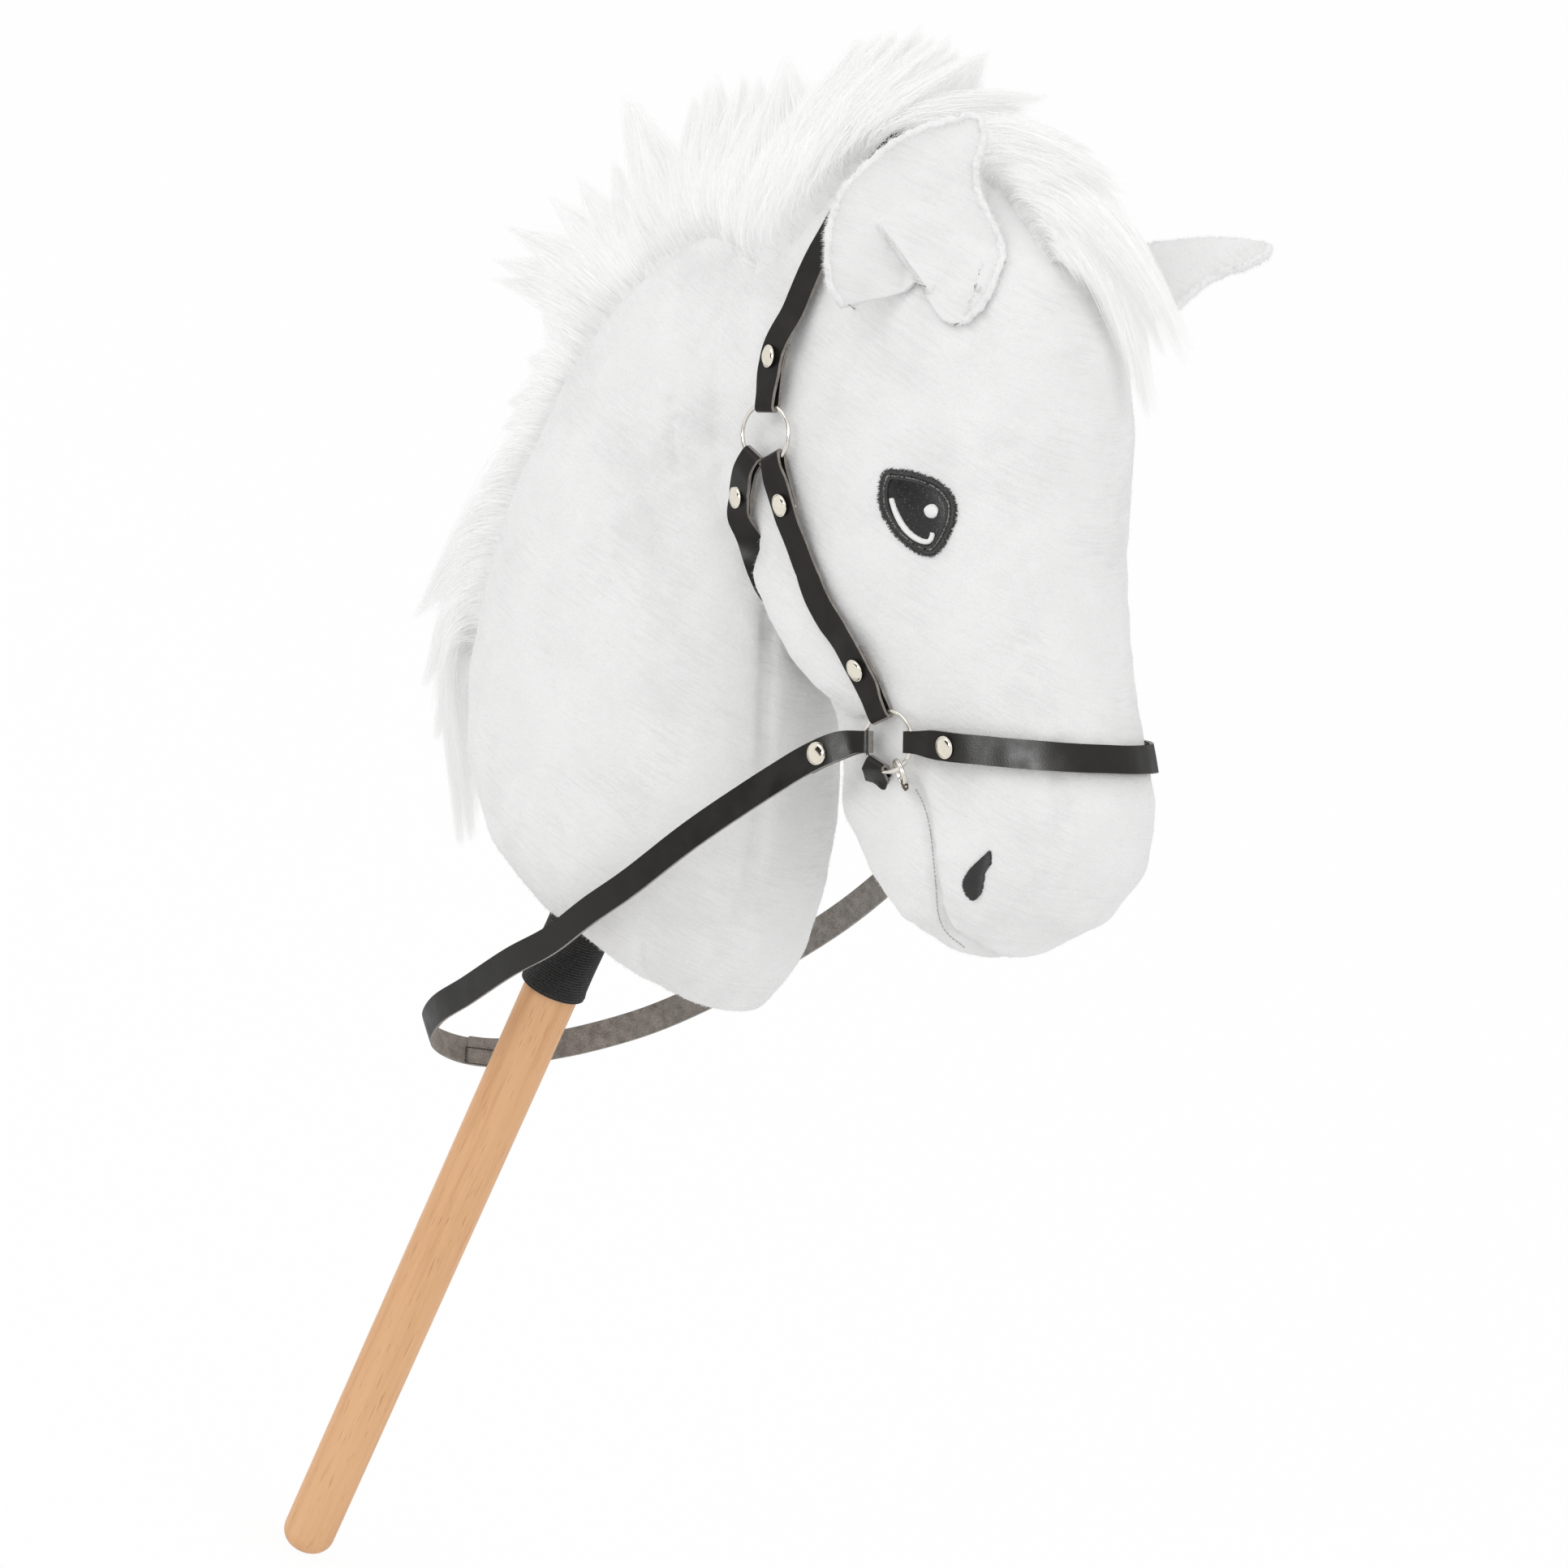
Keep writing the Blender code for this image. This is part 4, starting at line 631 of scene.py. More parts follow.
def swollen(mesh, held):
    """The skin after a cloth run: stuffing pressure inside, held at the seams."""
    obj = new_object("stuffed", mesh)
    scene = bpy.context.scene
    pins = obj.vertex_groups.new(name="seams")
    pins.add([int(index) for index in np.flatnonzero(held)], 1.0, "REPLACE")
    cloth = obj.modifiers.new("cloth", "CLOTH")
    for key, value in CLOTH_SETTINGS.items():
        setattr(cloth.settings, key, value)
    cloth.settings.effector_weights.gravity = 0.0
    cloth.point_cache.frame_start = 1
    cloth.point_cache.frame_end = CLOTH_FRAMES
    for number in range(1, CLOTH_FRAMES + 1):
        scene.frame_set(number)
    graph = bpy.context.evaluated_depsgraph_get()
    ended = vertex_places(obj.evaluated_get(graph).to_mesh())
    obj.to_mesh_clear()
    bpy.data.objects.remove(obj, do_unlink=True)
    scene.frame_set(1)
    start = vertex_places(mesh)
    shift = ended - start
    reach = np.linalg.norm(shift, axis=1)
    limit = np.minimum(1.0, SWELL_CAP / np.maximum(reach, 1e-9))
    put_places(mesh, start + shift * limit[:, None])


def noise_at(places, scale, detail=0):
    """Blender's own noise at each place: plain, or a fractal of some octaves."""
    if detail:
        return np.array([noise.fractal(Vector(p) * scale, 1.0, 2.0, detail) for p in places])
    return np.array([noise.noise(Vector(p) * scale) for p in places])


def groove(places, gap, depth, width, pucker=0.0, fineness=1.0, reach=1.0):
    """How far the skin rises at each place beside a sewn line, by the gap to it."""
    lift = -depth * bell(gap, width)
    if pucker:
        lift += pucker * noise_at(places, fineness) * bell(gap, reach)
    return lift


def sewn(mesh, distances):
    """Seam grooves with small puckers, the sewn darts and the low waves of hand stuffing."""
    places = vertex_places(mesh)
    normals = read(mesh.vertex_normals, "vector")
    local = carried(places, TO_HEAD)
    side_view = local[:, (0, 2)]
    mouth = line_distance(side_view, MOUTH_SEAM)
    ahead = smooth_ramp(-0.004, 0.004, local[:, 0] - LIP_AT)
    flank = smooth_ramp(*DART_FLANK, np.abs(local[:, 1]))
    lift = STUFFING_WAVES * noise_at(places, 12.0, 3)
    lift += groove(places, distances, *PANEL_GROOVE)
    lift += groove(places, mouth, *MOUTH_GROOVE) + LIP_SWELL * bell(mouth - LIP_OFF, 0.008) * (0.4 + ahead)
    for dart in CHEEK_DARTS:
        lift += flank * groove(places, line_distance(side_view, dart), *DART_GROOVE)
    lift += flank * groove(places, line_distance(side_view, NECK_DART), *NECK_GROOVE)
    put_places(mesh, places + normals * lift[:, None])


def cheek_swell(mesh):
    """Stuffs each cheek out over the throat strap, with a soft crease behind its rear edge."""
    places = vertex_places(mesh)
    local = carried(places, TO_HEAD)
    edge = np.array(CHEEK_EDGE)[::-1]
    height = local[:, 2]
    ahead = local[:, 0] - np.interp(height, edge[:, 1], edge[:, 0])
    swell = np.interp(height, edge[:, 1], edge[:, 2], 0.0, 0.0)
    flank = smooth_ramp(*CHEEK_FLANK, np.abs(local[:, 1]))
    rise = smooth_ramp(*CHEEK_FRONT, ahead) * (1.0 - smooth_ramp(*CHEEK_FADE, ahead))
    depth, width, behind = CHEEK_CREASE
    crease = depth * bell(ahead + behind, width) * smooth_ramp(0.0, 0.006, swell)
    jaw = bell(local[:, 0] - JAW_SWELL_AT[0], JAW_SWELL_REACH[0])
    jaw *= bell(height - JAW_SWELL_AT[1], JAW_SWELL_REACH[1])
    shift = np.zeros_like(local)
    shift[:, 1] = np.sign(local[:, 1]) * flank * (swell * rise - crease + JAW_SWELL * jaw)
    shift[:, 0] = -CHEEK_DRAWN_BACK * flank * swell * rise
    put_places(mesh, places + shift @ np.array(HEAD_TURN).T)


def stuffed():
    mesh = closed_skin(PANELS + FILLINGS)
    joined_crown(mesh)
    distances = panel_seams(mesh)
    if CLOTH:
        put_places(mesh, vertex_places(mesh) - read(mesh.vertex_normals, "vector") * CLOTH_ROOM)
        swollen(mesh, distances < SEAM_WIDTH)
    mesh = with_modifiers(mesh, finer(1))
    cheek_swell(mesh)
    sewn(mesh, panel_seams(mesh))
    obj = add_piece("plush_skin", finished(mesh), "head", (PLUSH,), PANELS + FILLINGS)
    return obj


SKIN = stuffed()
SKIN_TREE = tree_of(SKIN.data)


def scattered(mesh, count, seed):
    """Places and normals spread evenly over a mesh."""
    mesh.calc_loop_triangles()
    corners = vertex_places(mesh)
    triangles = np.array([triangle.vertices[:] for triangle in mesh.loop_triangles])
    a, b, c = (corners[triangles[:, k]] for k in range(3))
    cross = np.cross(b - a, c - a)
    areas = np.linalg.norm(cross, axis=1)
    normals = cross / np.maximum(areas, 1e-12)[:, None]
    chance = np.random.default_rng(seed)
    picked = chance.choice(len(triangles), count, p=areas / areas.sum())
    first = np.sqrt(chance.random(count))[:, None]
    second = chance.random(count)[:, None]
    spots = a[picked] * (1 - first) + b[picked] * first * (1 - second) + c[picked] * first * second
    return spots, normals[picked], chance


FUZZ_COMB = (-0.25, 0.0, -0.35)
FUZZ_COMBED = 0.5
FUZZ_UPRIGHT = 0.25
FUZZ_ROOT = 0.0004
NAP_COUNT = 70000
NAP_LENGTH = 0.0015
NAP_WIDTH = 0.00022


def add_fuzz(name, source, slot, finish, count, length, width, seed, spread=0.55):
    """Short fibres that soften the outline of a plush piece: one thin triangle each."""
    roots, normal, chance = scattered(source, count, seed)
    combed = np.array(head_way(*FUZZ_COMB)) * FUZZ_COMBED
    way = unit(normal + chance.normal(0.0, spread, (count, 3)) + combed)
    below = np.einsum("ij,ij->i", way, normal)
    way += normal * np.maximum(FUZZ_UPRIGHT - below, 0.0)[:, None]
    across = unit(np.cross(way, chance.normal(size=(count, 3)))) * width / 2
    sizes = length * (0.55 + 0.75 * chance.random(count))[:, None]
    roots = roots - normal * FUZZ_ROOT
    points = np.stack((roots - across, roots + across, roots + way * sizes), axis=1)
    mesh = mesh_of(name, points, np.arange(count * 3).reshape(-1, 3))
    add_piece(name, mesh, "head", (finish,))


for number in range(2):
    add_fuzz(f"plush_nap_{number + 1}", SKIN.data, "plush", FUZZ, NAP_COUNT, NAP_LENGTH,
             NAP_WIDTH, 11 + number)


# Halter straps

FOLD_REACH = 0.042
EDGE_ROUNDING = 0.0003
SHARP_BEND = 50.0
BIT_RING_AT = (0.2267, 0.1042)

# A face is on the cut edge where its normal follows the strap's broad way by less than this, as
# told from the faces nearby
EDGE_ON = 0.6
NEAR_FACES = 0.008


def broad_ways(mesh):
    """For each face of a strap, the way that its broad sides face nearby."""
    centres = read(mesh.polygons, "center")
    normals = read(mesh.polygons, "normal")
    areas = read(mesh.polygons, "area", 1)[:, 0]
    ways = []
    for centre in centres:
        near = np.linalg.norm(centres - centre, axis=1) < NEAR_FACES
        spread = np.einsum("k,ki,kj->ij", areas[near], normals[near], normals[near])
        ways.append(np.linalg.eigh(spread)[1][:, 2])
    return np.array(ways)


def leather_mesh(mesh, suede_side=None):
    """A strap's solid with soft edges, smooth curves and suede where the cut edge shows.

    suede_side gives the way in which the strap's back faces at a place, where the back shows.
    """
    centres = read(mesh.polygons, "center")
    normals = read(mesh.polygons, "normal")
    edge_on = np.abs(np.einsum("ij,ij->i", normals, broad_ways(mesh))) < EDGE_ON
    for polygon, centre, normal, edge in zip(mesh.polygons, centres, normals, edge_on):
        suede = edge
        if suede_side is not None and not edge:
            way = suede_side(Vector(centre))
            suede = way is not None and way.dot(Vector(normal)) > 0.0
        polygon.material_index = 1 if suede else 0
    return with_modifiers(mesh, rounded_edges(EDGE_ROUNDING, 2, SHARP_BEND), finer(2))


STRAPS = ("crown_strap", "throat_strap", "noseband", "chin_strap", "cheek_strap_right",
          "cheek_strap_left")


# How far straps are pulled forward between their rings, by height up the face
CROWN_PULL = ((0.2350, 0.0), (0.2620, 0.0044), (0.2900, 0.0042), (0.3100, 0.0052), (0.3450, 0.0100),
              (0.3700, 0.0125))
CHEEK_PULL = ((0.1200, 0.0), (0.1340, -0.0024), (0.1500, -0.0042), (0.1620, -0.0030),
              (0.1725, -0.0014), (0.1830, -0.0026), (0.1950, -0.0036), (0.2110, -0.0028),
              (0.2230, 0.0))

# The stretch of the chin strap that lies deep in the jaw's plush: heights up the face and depth
CHIN_SUNK = (0.052, 0.064, 0.087, 0.093, 0.0085)
CHIN_MIDDLE = 0.004
CHIN_FLANK = 0.010

# How far the throat strap turns edge-on as it runs in behind the cheek, by height up the face
THROAT_TURN = ((0.1520, 0.0), (0.1680, 0.95), (0.1800, 1.10), (0.2060, 0.0))
THROAT_SPAN = (0.150, 0.215)
THROAT_STEP = 0.004
THROAT_FLANK = 0.020

LINT_COUNT = 2600
LINT_LENGTH = 0.0009
LINT_WIDTH = 0.00010
LINT_SPREAD = 0.9


def pulled(place, table):
    """Where a place on a strap comes to, as far off the plush as it was."""
    local = TO_HEAD @ place
    heights, forward = np.array(table).T
    shift = head_way(1.0, 0.0, 0.0) * float(np.interp(local.z, heights, forward))
    near, normal, _, _ = SKIN_TREE.find_nearest(place)
    after, way, _, _ = SKIN_TREE.find_nearest(place + shift)
    gap = (place - near).dot(normal) - (place + shift - after).dot(way)
    return place + shift + way * gap


def pressed_in(place):
    """Where a place on the chin strap comes to, under the plush of the jaw's flank."""
    local = TO_HEAD @ place
    low, low_full, high_full, high, depth = CHIN_SUNK
    share = float(np.interp(local.z, (low, low_full, high_full, high), (0.0, 1.0, 1.0, 0.0)))
    flank = min(1.0, max(0.0, abs(local.y) - CHIN_MIDDLE) / CHIN_FLANK)
    return place - head_way(0.0, math.copysign(1.0, local.y), 0.0) * (depth * share * flank)


def turned_under(mesh):
    """Turns the throat strap about its own middle line on both sides, front edge inwards."""
    places = carried(vertex_places(mesh), TO_HEAD)
    heights, turns = np.array(THROAT_TURN).T
    low, high = THROAT_SPAN
    for side in (-1.0, 1.0):
        flank = (places[:, 1] * side > THROAT_FLANK) & (places[:, 2] > low) & (places[:, 2] < high)
        levels = np.arange(low, high, THROAT_STEP)
        near = [flank & (np.abs(places[:, 2] - level) < THROAT_STEP) for level in levels]
        used = [index for index, rows in enumerate(near) if rows.any()]
        middles = np.array([places[near[index]].mean(axis=0) for index in used])
        along = places[flank, 2]
        middle = np.stack([np.interp(along, middles[:, 2], middles[:, axis]) for axis in (0, 1)], axis=1)
        angle = np.interp(along, heights, turns) * -side
        ahead, aside = (places[flank, :2] - middle).T
        places[flank, 0] = middle[:, 0] + ahead * np.cos(angle) - aside * np.sin(angle)
        places[flank, 1] = middle[:, 1] + ahead * np.sin(angle) + aside * np.cos(angle)
    put_places(mesh, carried(places, HEAD))


def laid(node, place):
    """Where a place on a strap, or on a rivet through it, comes to."""
    if node.startswith("cheek"):
        return pulled(place, CHEEK_PULL)
    if node.startswith("crown"):
        return pulled(place, CROWN_PULL)
    return pressed_in(place) if node.startswith("chin") else place


def suede_part(mesh):
    """The cut edges of a strap alone."""
    work = opened(mesh)
    face_sides = [face for face in work.faces if face.material_index == 0]
    bmesh.ops.delete(work, geom=face_sides, context="FACES")
    return mesh_from("strap_edges", work)


def add_straps():
    for node in STRAPS:
        mesh = leather_mesh(node_mesh(node))
        for vertex in mesh.vertices:
            vertex.co = laid(node, vertex.co)
        if node == "throat_strap":
            turned_under(mesh)
        add_piece(node + "_leather", finished(mesh), "head", (LEATHER, SUEDE), (node,))
        add_fuzz(node + "_lint", suede_part(mesh), "leather", SUEDE, LINT_COUNT, LINT_LENGTH, LINT_WIDTH,
                 61, LINT_SPREAD)


add_straps()


# Rings, links and rivets


def turned_mesh(name, profile, sides):
    """A closed mesh turned about Z from (radius, height) points, top to bottom on the outside."""
    work = bmesh.new()
    rings = [add_ring(work, Vector((0.0, 0.0, height)), Vector((radius, 0.0, 0.0)),
                      Vector((0.0, radius, 0.0)), sides if radius else 1)
             for radius, height in profile]
    return mesh_through(name, work, rings, angle=40)


def wire_mesh(name, radius, wire, turns, rise, sides, wire_sides):
    """Wire wound round its own Y axis: a closed ring if it doesn't rise, else an open coil."""
    work = bmesh.new()
    rings = []
    for index in range(sides + 1 if rise else sides):
        angle = 2 * math.pi * turns * index / sides
        out = Vector((math.cos(angle), 0.0, math.sin(angle)))
        centre = out * radius + Vector((0.0, rise * (index / sides - 0.5), 0.0))
        rings.append(add_ring(work, centre, out * wire, Vector((0.0, wire, 0.0)), wire_sides))
    return mesh_through(name, work, rings, not rise, bool(rise), 50 if rise else None)


def node_centre(node):
    low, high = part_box(node)
    return (Vector(low) + Vector(high)) / 2


def principal_turn(node):
    """The middle of a turned node, and the axis about which it is round."""
    points = vertex_places(bpy.data.objects[node].data)
    centre = points.mean(axis=0)
    sizes, ways = np.linalg.eigh(np.cov((points - centre).T))
    odd = 0 if sizes[1] - sizes[0] > sizes[2] - sizes[1] else 2
    return Vector(centre), Vector(ways[:, odd])


RING_RADIUS = 0.0125
RING_WIRE = 0.00095
LINK_RADIUS = 0.0058
LINK_WIRE = 0.0006
LINK_TURNS = 1.9
LINK_RISE = LINK_WIRE * 2.15


def add_rings():
    for label in ("top_ring", "bit_ring"):
        for word in SIDES:
            node = f"{label}_{word}"
            mesh = wire_mesh(node + "_wire", RING_RADIUS, RING_WIRE, turns=1.0, rise=0.0, sides=96,
                             wire_sides=14)
            mesh.transform(Matrix.Translation(node_centre(node)))
            add_piece(node + "_wire", mesh, node, (NICKEL,), (node,))


def turn_to(axis, local):
    return local.rotation_difference(axis).to_matrix().to_4x4()


TIE_TURNS = 6
TIE_STEPS = 10
TIE_THREAD = 0.00022
TIE_RADIUS = 0.0011
TIE_PITCH = 1.68
TIE_UNEVEN = 0.12
TIE_DEEP = 2.2
TIE_AT = 0.92


def thread_wraps(name, centre, axis, out):
    """Sewing thread wound round a wire: a curve of close turns."""
    curve = bpy.data.curves.new(name, "CURVE")
    curve.dimensions = "3D"
    curve.bevel_depth = TIE_THREAD
    curve.bevel_resolution = 2
    curve.use_fill_caps = True
    curve.materials.append(BROWN_THREAD)
    across = axis.cross(out).normalized()
    steps = TIE_TURNS * TIE_STEPS
    spline = curve.splines.new("POLY")
    spline.points.add(steps)
    for index in range(steps + 1):
        angle = 2 * math.pi * index / TIE_STEPS
        along = across * (TIE_THREAD * TIE_PITCH * TIE_TURNS * (index / steps - 0.5))
        stretch = TIE_RADIUS * (1.0 + TIE_UNEVEN * math.sin(index * 1.7))
        place = centre + along + (out * math.cos(angle) * TIE_DEEP + axis * math.sin(angle)) * stretch
        spline.points[index].co = (*place, 1.0)
    return curve


def add_links():
    for word in SIDES:
        node = f"link_ring_{word}"
        centre, axis = principal_turn(node)
        mesh = wire_mesh(node + "_wire", LINK_RADIUS, LINK_WIRE, LINK_TURNS, LINK_RISE, sides=150,
                         wire_sides=10)
        mesh.transform(Matrix.Translation(centre) @ turn_to(axis, Vector((0.0, 1.0, 0.0))))
        add_piece(node + "_wire", mesh, "head", (NICKEL,), (node,))
        out = (centre - node_centre(f"bit_ring_{word}")).normalized()
        name = f"link_tie_{word}"
        tie = new_object(name, thread_wraps(name, centre + out * (LINK_RADIUS * TIE_AT), axis, out))
        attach(tie, "head")


RIVET_CAP = 0.0048
RIVET_DOME = 0.0014
RIVET_BACK = 0.0008


def rivet_profile(seat):
    """A domed cap with a thin rim, the shank, and the flat cap on the back."""
    dome = ((0.0, 1.50), (1.2, 1.48), (2.4, 1.38), (3.4, 1.16), (4.0, 0.88), (4.25, 0.62), (4.35, 0.46),
            (4.55, 0.44), (4.75, 0.38), (RIVET_CAP / MM, 0.24), (4.74, 0.08), (4.5, 0.0), (1.5, 0.0))
    shank_and_back = ((1.5, 0.0), (3.9, 0.0), (4.0, 0.2), (3.8, 0.8), (0.0, 0.8))
    return ([(radius * MM, seat + height * MM) for radius, height in dome]
            + [(radius * MM, -seat - depth * MM) for radius, depth in shank_and_back])


def add_rivet(node, body):
    centre, axis = principal_turn(node)
    if axis.y * node_centre(node).y < 0.0:
        axis = -axis
    heights = (vertex_places(bpy.data.objects[node].data) - np.array(centre)) @ np.array(axis)
    seat = (heights.max() - heights.min() - RIVET_DOME - RIVET_BACK) / 2
    start = laid(node, centre) + axis * (heights.min() + RIVET_BACK + seat)
    made = turned_mesh(node + "_cap", rivet_profile(seat), 48)
    made.transform(Matrix.Translation(start) @ turn_to(axis, Vector((0.0, 0.0, 1.0))))
    return add_piece(node + "_cap", made, body, (RIVET_PLATE,), (node,))


RIVETS = [f"{label}_rivet_{word}" for label in ("crown_strap", "throat_strap", "noseband", "chin_strap")
          for word in SIDES]
RIVETS += [f"cheek_rivet_{label}_{word}" for label in ("upper", "lower") for word in SIDES]

add_rings()
add_links()
for rivet_node in RIVETS:
    add_rivet(rivet_node, "head")


# Rein

REIN_MIDDLE = 0.05
REIN_LONG = 1.6


def rein_inner_way(place):
    """The way in which the rein's suede back faces: into the loop, away from its folded ends."""
    u, v, w = TO_HEAD @ place
    reach = math.hypot(u - BIT_RING_AT[0], w - BIT_RING_AT[1])
    if reach < FOLD_REACH:
        return None
    return head_way(REIN_MIDDLE - u, -v * REIN_LONG, 0.0)


def add_rein():
    mesh = leather_mesh(node_mesh("rein_right", "rein_left"), rein_inner_way)
    obj = add_piece("rein", finished(mesh), "rein", (LEATHER, SUEDE),
                    ("rein_right", "rein_left"))
    rivets = [add_rivet(f"rein_rivet_{word}", "rein") for word in SIDES]


add_rein()


# Eyes and nostrils

# Outlines as the photograph's view shows them on the right side: millimetres to the right of the
# cuff's middle and above its lower end. The left side mirrors them.
EYE_OUTLINE = (
    (141.9, 219.7), (149.6, 219.8), (158.3, 217.8), (166.2, 213.8), (171.0, 207.4),
    (171.4, 199.4), (168.2, 190.8), (163.0, 184.3), (157.2, 184.2), (149.6, 188.8),
    (143.2, 196.0), (139.4, 204.3), (139.0, 213.2),
)
EYE_MIDDLE = (154.2, 202.6)
GLINT_LINE = ((145.0, 207.9), (146.3, 203.4), (148.5, 198.6), (151.2, 194.7), (154.8, 191.5),
              (158.4, 189.8), (160.8, 190.0), (161.9, 191.6), (162.2, 193.6))
GLINT_WIDTH = 2.1
DOT_MIDDLE = (161.8, 202.6)
DOT_RADIUS = 2.9
DOT_SIDES = 24
NOSTRIL_OUTLINE = (
    (186.0, 57.8), (186.6, 53.0), (184.2, 49.2), (183.4, 45.2), (182.4, 40.6), (179.6, 37.5),
    (177.0, 38.2), (174.8, 41.6), (174.6, 45.6), (177.0, 49.9), (181.2, 54.0), (184.0, 56.4),
)
SATIN_BAND = 2.6
THIN_BAND = 1.3
THREAD_RADIUS = 0.00017
THREAD_PITCH = 0.27
THREAD_SIDES = 5
SLANT = 0.25
INNER_RAGGED = 0.6
LINT_RADIUS = 0.00010
LINT_LEFT = 0.62
BAND_GAP = 0.45
PATCH_INSET = 0.8
GLINT_ENDS = 0.62
PATCH_ROWS = 10
PATCH_LIFT = 0.0006
PATCH_DOME = 0.0007

# Rows of stitches round each eye: the insets at which they start and end, pitch and raggedness. The
# glint's row has its width instead of insets, and each fill has the way of its thread
SATIN_ROWS = ((0.0, SATIN_BAND, THREAD_PITCH, 0.9), (0.2, SATIN_BAND, THREAD_PITCH * 1.3, 0.5))
INNER_ROW = (SATIN_BAND + BAND_GAP, SATIN_BAND + BAND_GAP + THIN_BAND, THREAD_PITCH, 0.15)
LINT_ROW = (SATIN_BAND - 0.1, SATIN_BAND + BAND_GAP, 0.34, 0.15)
GLINT_ROW = (GLINT_WIDTH, 0.22, 0.22)
DOT_FILL = ((0.35, 1.0), 0.22, 0.2)
NOSTRIL_FILLS = (((0.88, 0.48), 0.24, 0.7), ((0.80, 0.60), 0.33, 0.6))

# How far each kind of stitch stands off the plush: its base and its rise
BAND_HEIGHTS = (0.0003, 0.0009)
INNER_HEIGHTS = (0.0009, 0.0007)
LINT_HEIGHTS = (0.0011, 0.0005)
LIGHT_HEIGHTS = (0.0017, 0.0007)
NOSTRIL_HEIGHTS = (0.0003, 0.0008)
MOUTH_HEIGHTS = (0.0001, 0.0002)

# Painted shade in each mouth seam: a line of grey thread stitches that darkens it
MOUTH_SHADE_LINE = ((154.3, 84.5), (157.8, 77.6), (160.2, 68.7), (161.6, 57.3), (162.9, 43.8),
                (164.0, 31.4), (167.4, 23.8), (175.0, 17.3))
MOUTH_SHADE_STITCH_RADIUS = 0.00018
MOUTH_PITCH = 1.8


def seen_at(spot, side, tree=SKIN_TREE):
    """The surface and its normal where the view meets it, or its mirror on the left."""
    way = (view_point(spot, 0.0) - CAMERA_PLACE).normalized()
    place, normal, _, _ = tree.ray_cast(CAMERA_PLACE, way)
    if side > 0.0:
        local = TO_HEAD @ place
        place, normal, _, _ = SKIN_TREE.find_nearest(head_point(local.x, -local.y, local.z))
    return place, normal


def smooth_loop(points, steps=8):
    """A closed smooth line through some places."""
    points = [Vector(point) for point in points]
    count = len(points)
    result = []
    for index in range(count):
        before, start, end, after = (points[(index + k) % count] for k in (-1, 0, 1, 2))
        for step in range(steps):
            t = step / steps
            result.append(0.5 * ((2 * start) + (end - before) * t
                                 + (2 * before - 5 * start + 4 * end - after) * t * t
                                 + (3 * start - before - 3 * end + after) * t ** 3))
    return result


def spaced(points, pitch, closed=True):
    """Places at an even pitch along a line, with the line's way at each."""
    line = list(points) + ([points[0]] if closed else [])
    result = []
    walked = 0.0
    for start, end in zip(line, line[1:]):
        span = (end - start).length
        way = (end - start) / max(span, 1e-9)
        while walked < span:
            result.append((start + way * walked, way))
            walked += pitch
        walked -= span
    return result


def tube_piece(name, lines, radii, normals, finish, sides=THREAD_SIDES, body="head"):
    """Thin threads as one piece: a small tube along each line of places."""
    lines = np.array(lines)
    count, steps = lines.shape[:2]
    ways = unit(np.gradient(lines, axis=1) + 1e-12)
    across = unit(np.cross(ways, np.array(normals)) + 1e-12)
    rise = np.cross(across, ways)
    angles = np.array(angles_round(sides))[:, None]
    ring = across[:, :, None, :] * np.cos(angles) + rise[:, :, None, :] * np.sin(angles)
    points = lines[:, :, None, :] + ring * np.array(radii)[None, :, None, None]
    base = np.arange(count * steps * sides).reshape(count, steps, sides)
    after = np.roll(base, -1, axis=2)
    quads = np.stack((base[:, :-1], after[:, :-1], after[:, 1:], base[:, 1:]), axis=-1)
    return add_piece(name, mesh_of(name, points, quads), body, (finish,))


# A stitch dives at its ends and stands up between: each step's share of its length and its rise
STITCH_STEPS = ((0.0, -0.6), (0.1, 0.5), (0.5, 1.0), (0.9, 0.5), (1.0, -0.6))
STITCH_TAPER = (0.5, 1.0, 1.0, 1.0, 0.5)


def arched(start, end, side, base, lift):
    """The places along a stitch from one view place to another, and the skin's normals there."""
    hits = [seen_at(start.lerp(end, share), side) for share, _ in STITCH_STEPS]
    places = [place + normal * (base + lift * rise)
              for (place, normal), (_, rise) in zip(hits, STITCH_STEPS)]
    return places, [normal for _, normal in hits]


def add_stitches(name, stitches, side, heights, finish, radius=THREAD_RADIUS):
    lines, normals = zip(*(arched(start, end, side, *heights) for start, end in stitches))
    radii = [radius * share for share in STITCH_TAPER]
    return tube_piece(name, lines, radii, normals, finish)


def uneven(most):
    return random.uniform(-most, most)


def band_stitches(outline, outer, inner, pitch, ragged):
    """Stitches square to a closed outline, from one inset to another, with ragged ends."""
    stitches = []
    for place, way in spaced(outline, pitch):
        inward = Vector((way.y, -way.x))
        slant = way * uneven(SLANT)
        start = place + inward * (outer + uneven(ragged)) + slant
        end = place + inward * (inner + uneven(ragged) * INNER_RAGGED) - slant
        stitches.append((start, end))
    return stitches


def filled_stitches(outline, way, pitch, ragged):
    """Stitches in one direction that fill an outline."""
    way = Vector(way).normalized()
    across = Vector((-way.y, way.x))
    reach = [place.dot(across) for place in outline]
    level = min(reach) + pitch / 2
    stitches = []
    while level < max(reach):
        cuts = []
        for start, end in zip(outline, outline[1:] + outline[:1]):
            low = start.dot(across) - level
            high = end.dot(across) - level
            if low * high < 0.0:
                cuts.append((start + (end - start) * (low / (low - high))).dot(way))
        cuts.sort()
        if len(cuts) >= 2:
            first = cuts[0] - random.uniform(0.0, ragged)
            last = cuts[-1] + random.uniform(0.0, ragged)
            stitches.append((way * first + across * level, way * last + across * (level + pitch / 3)))
        level += pitch
    return stitches


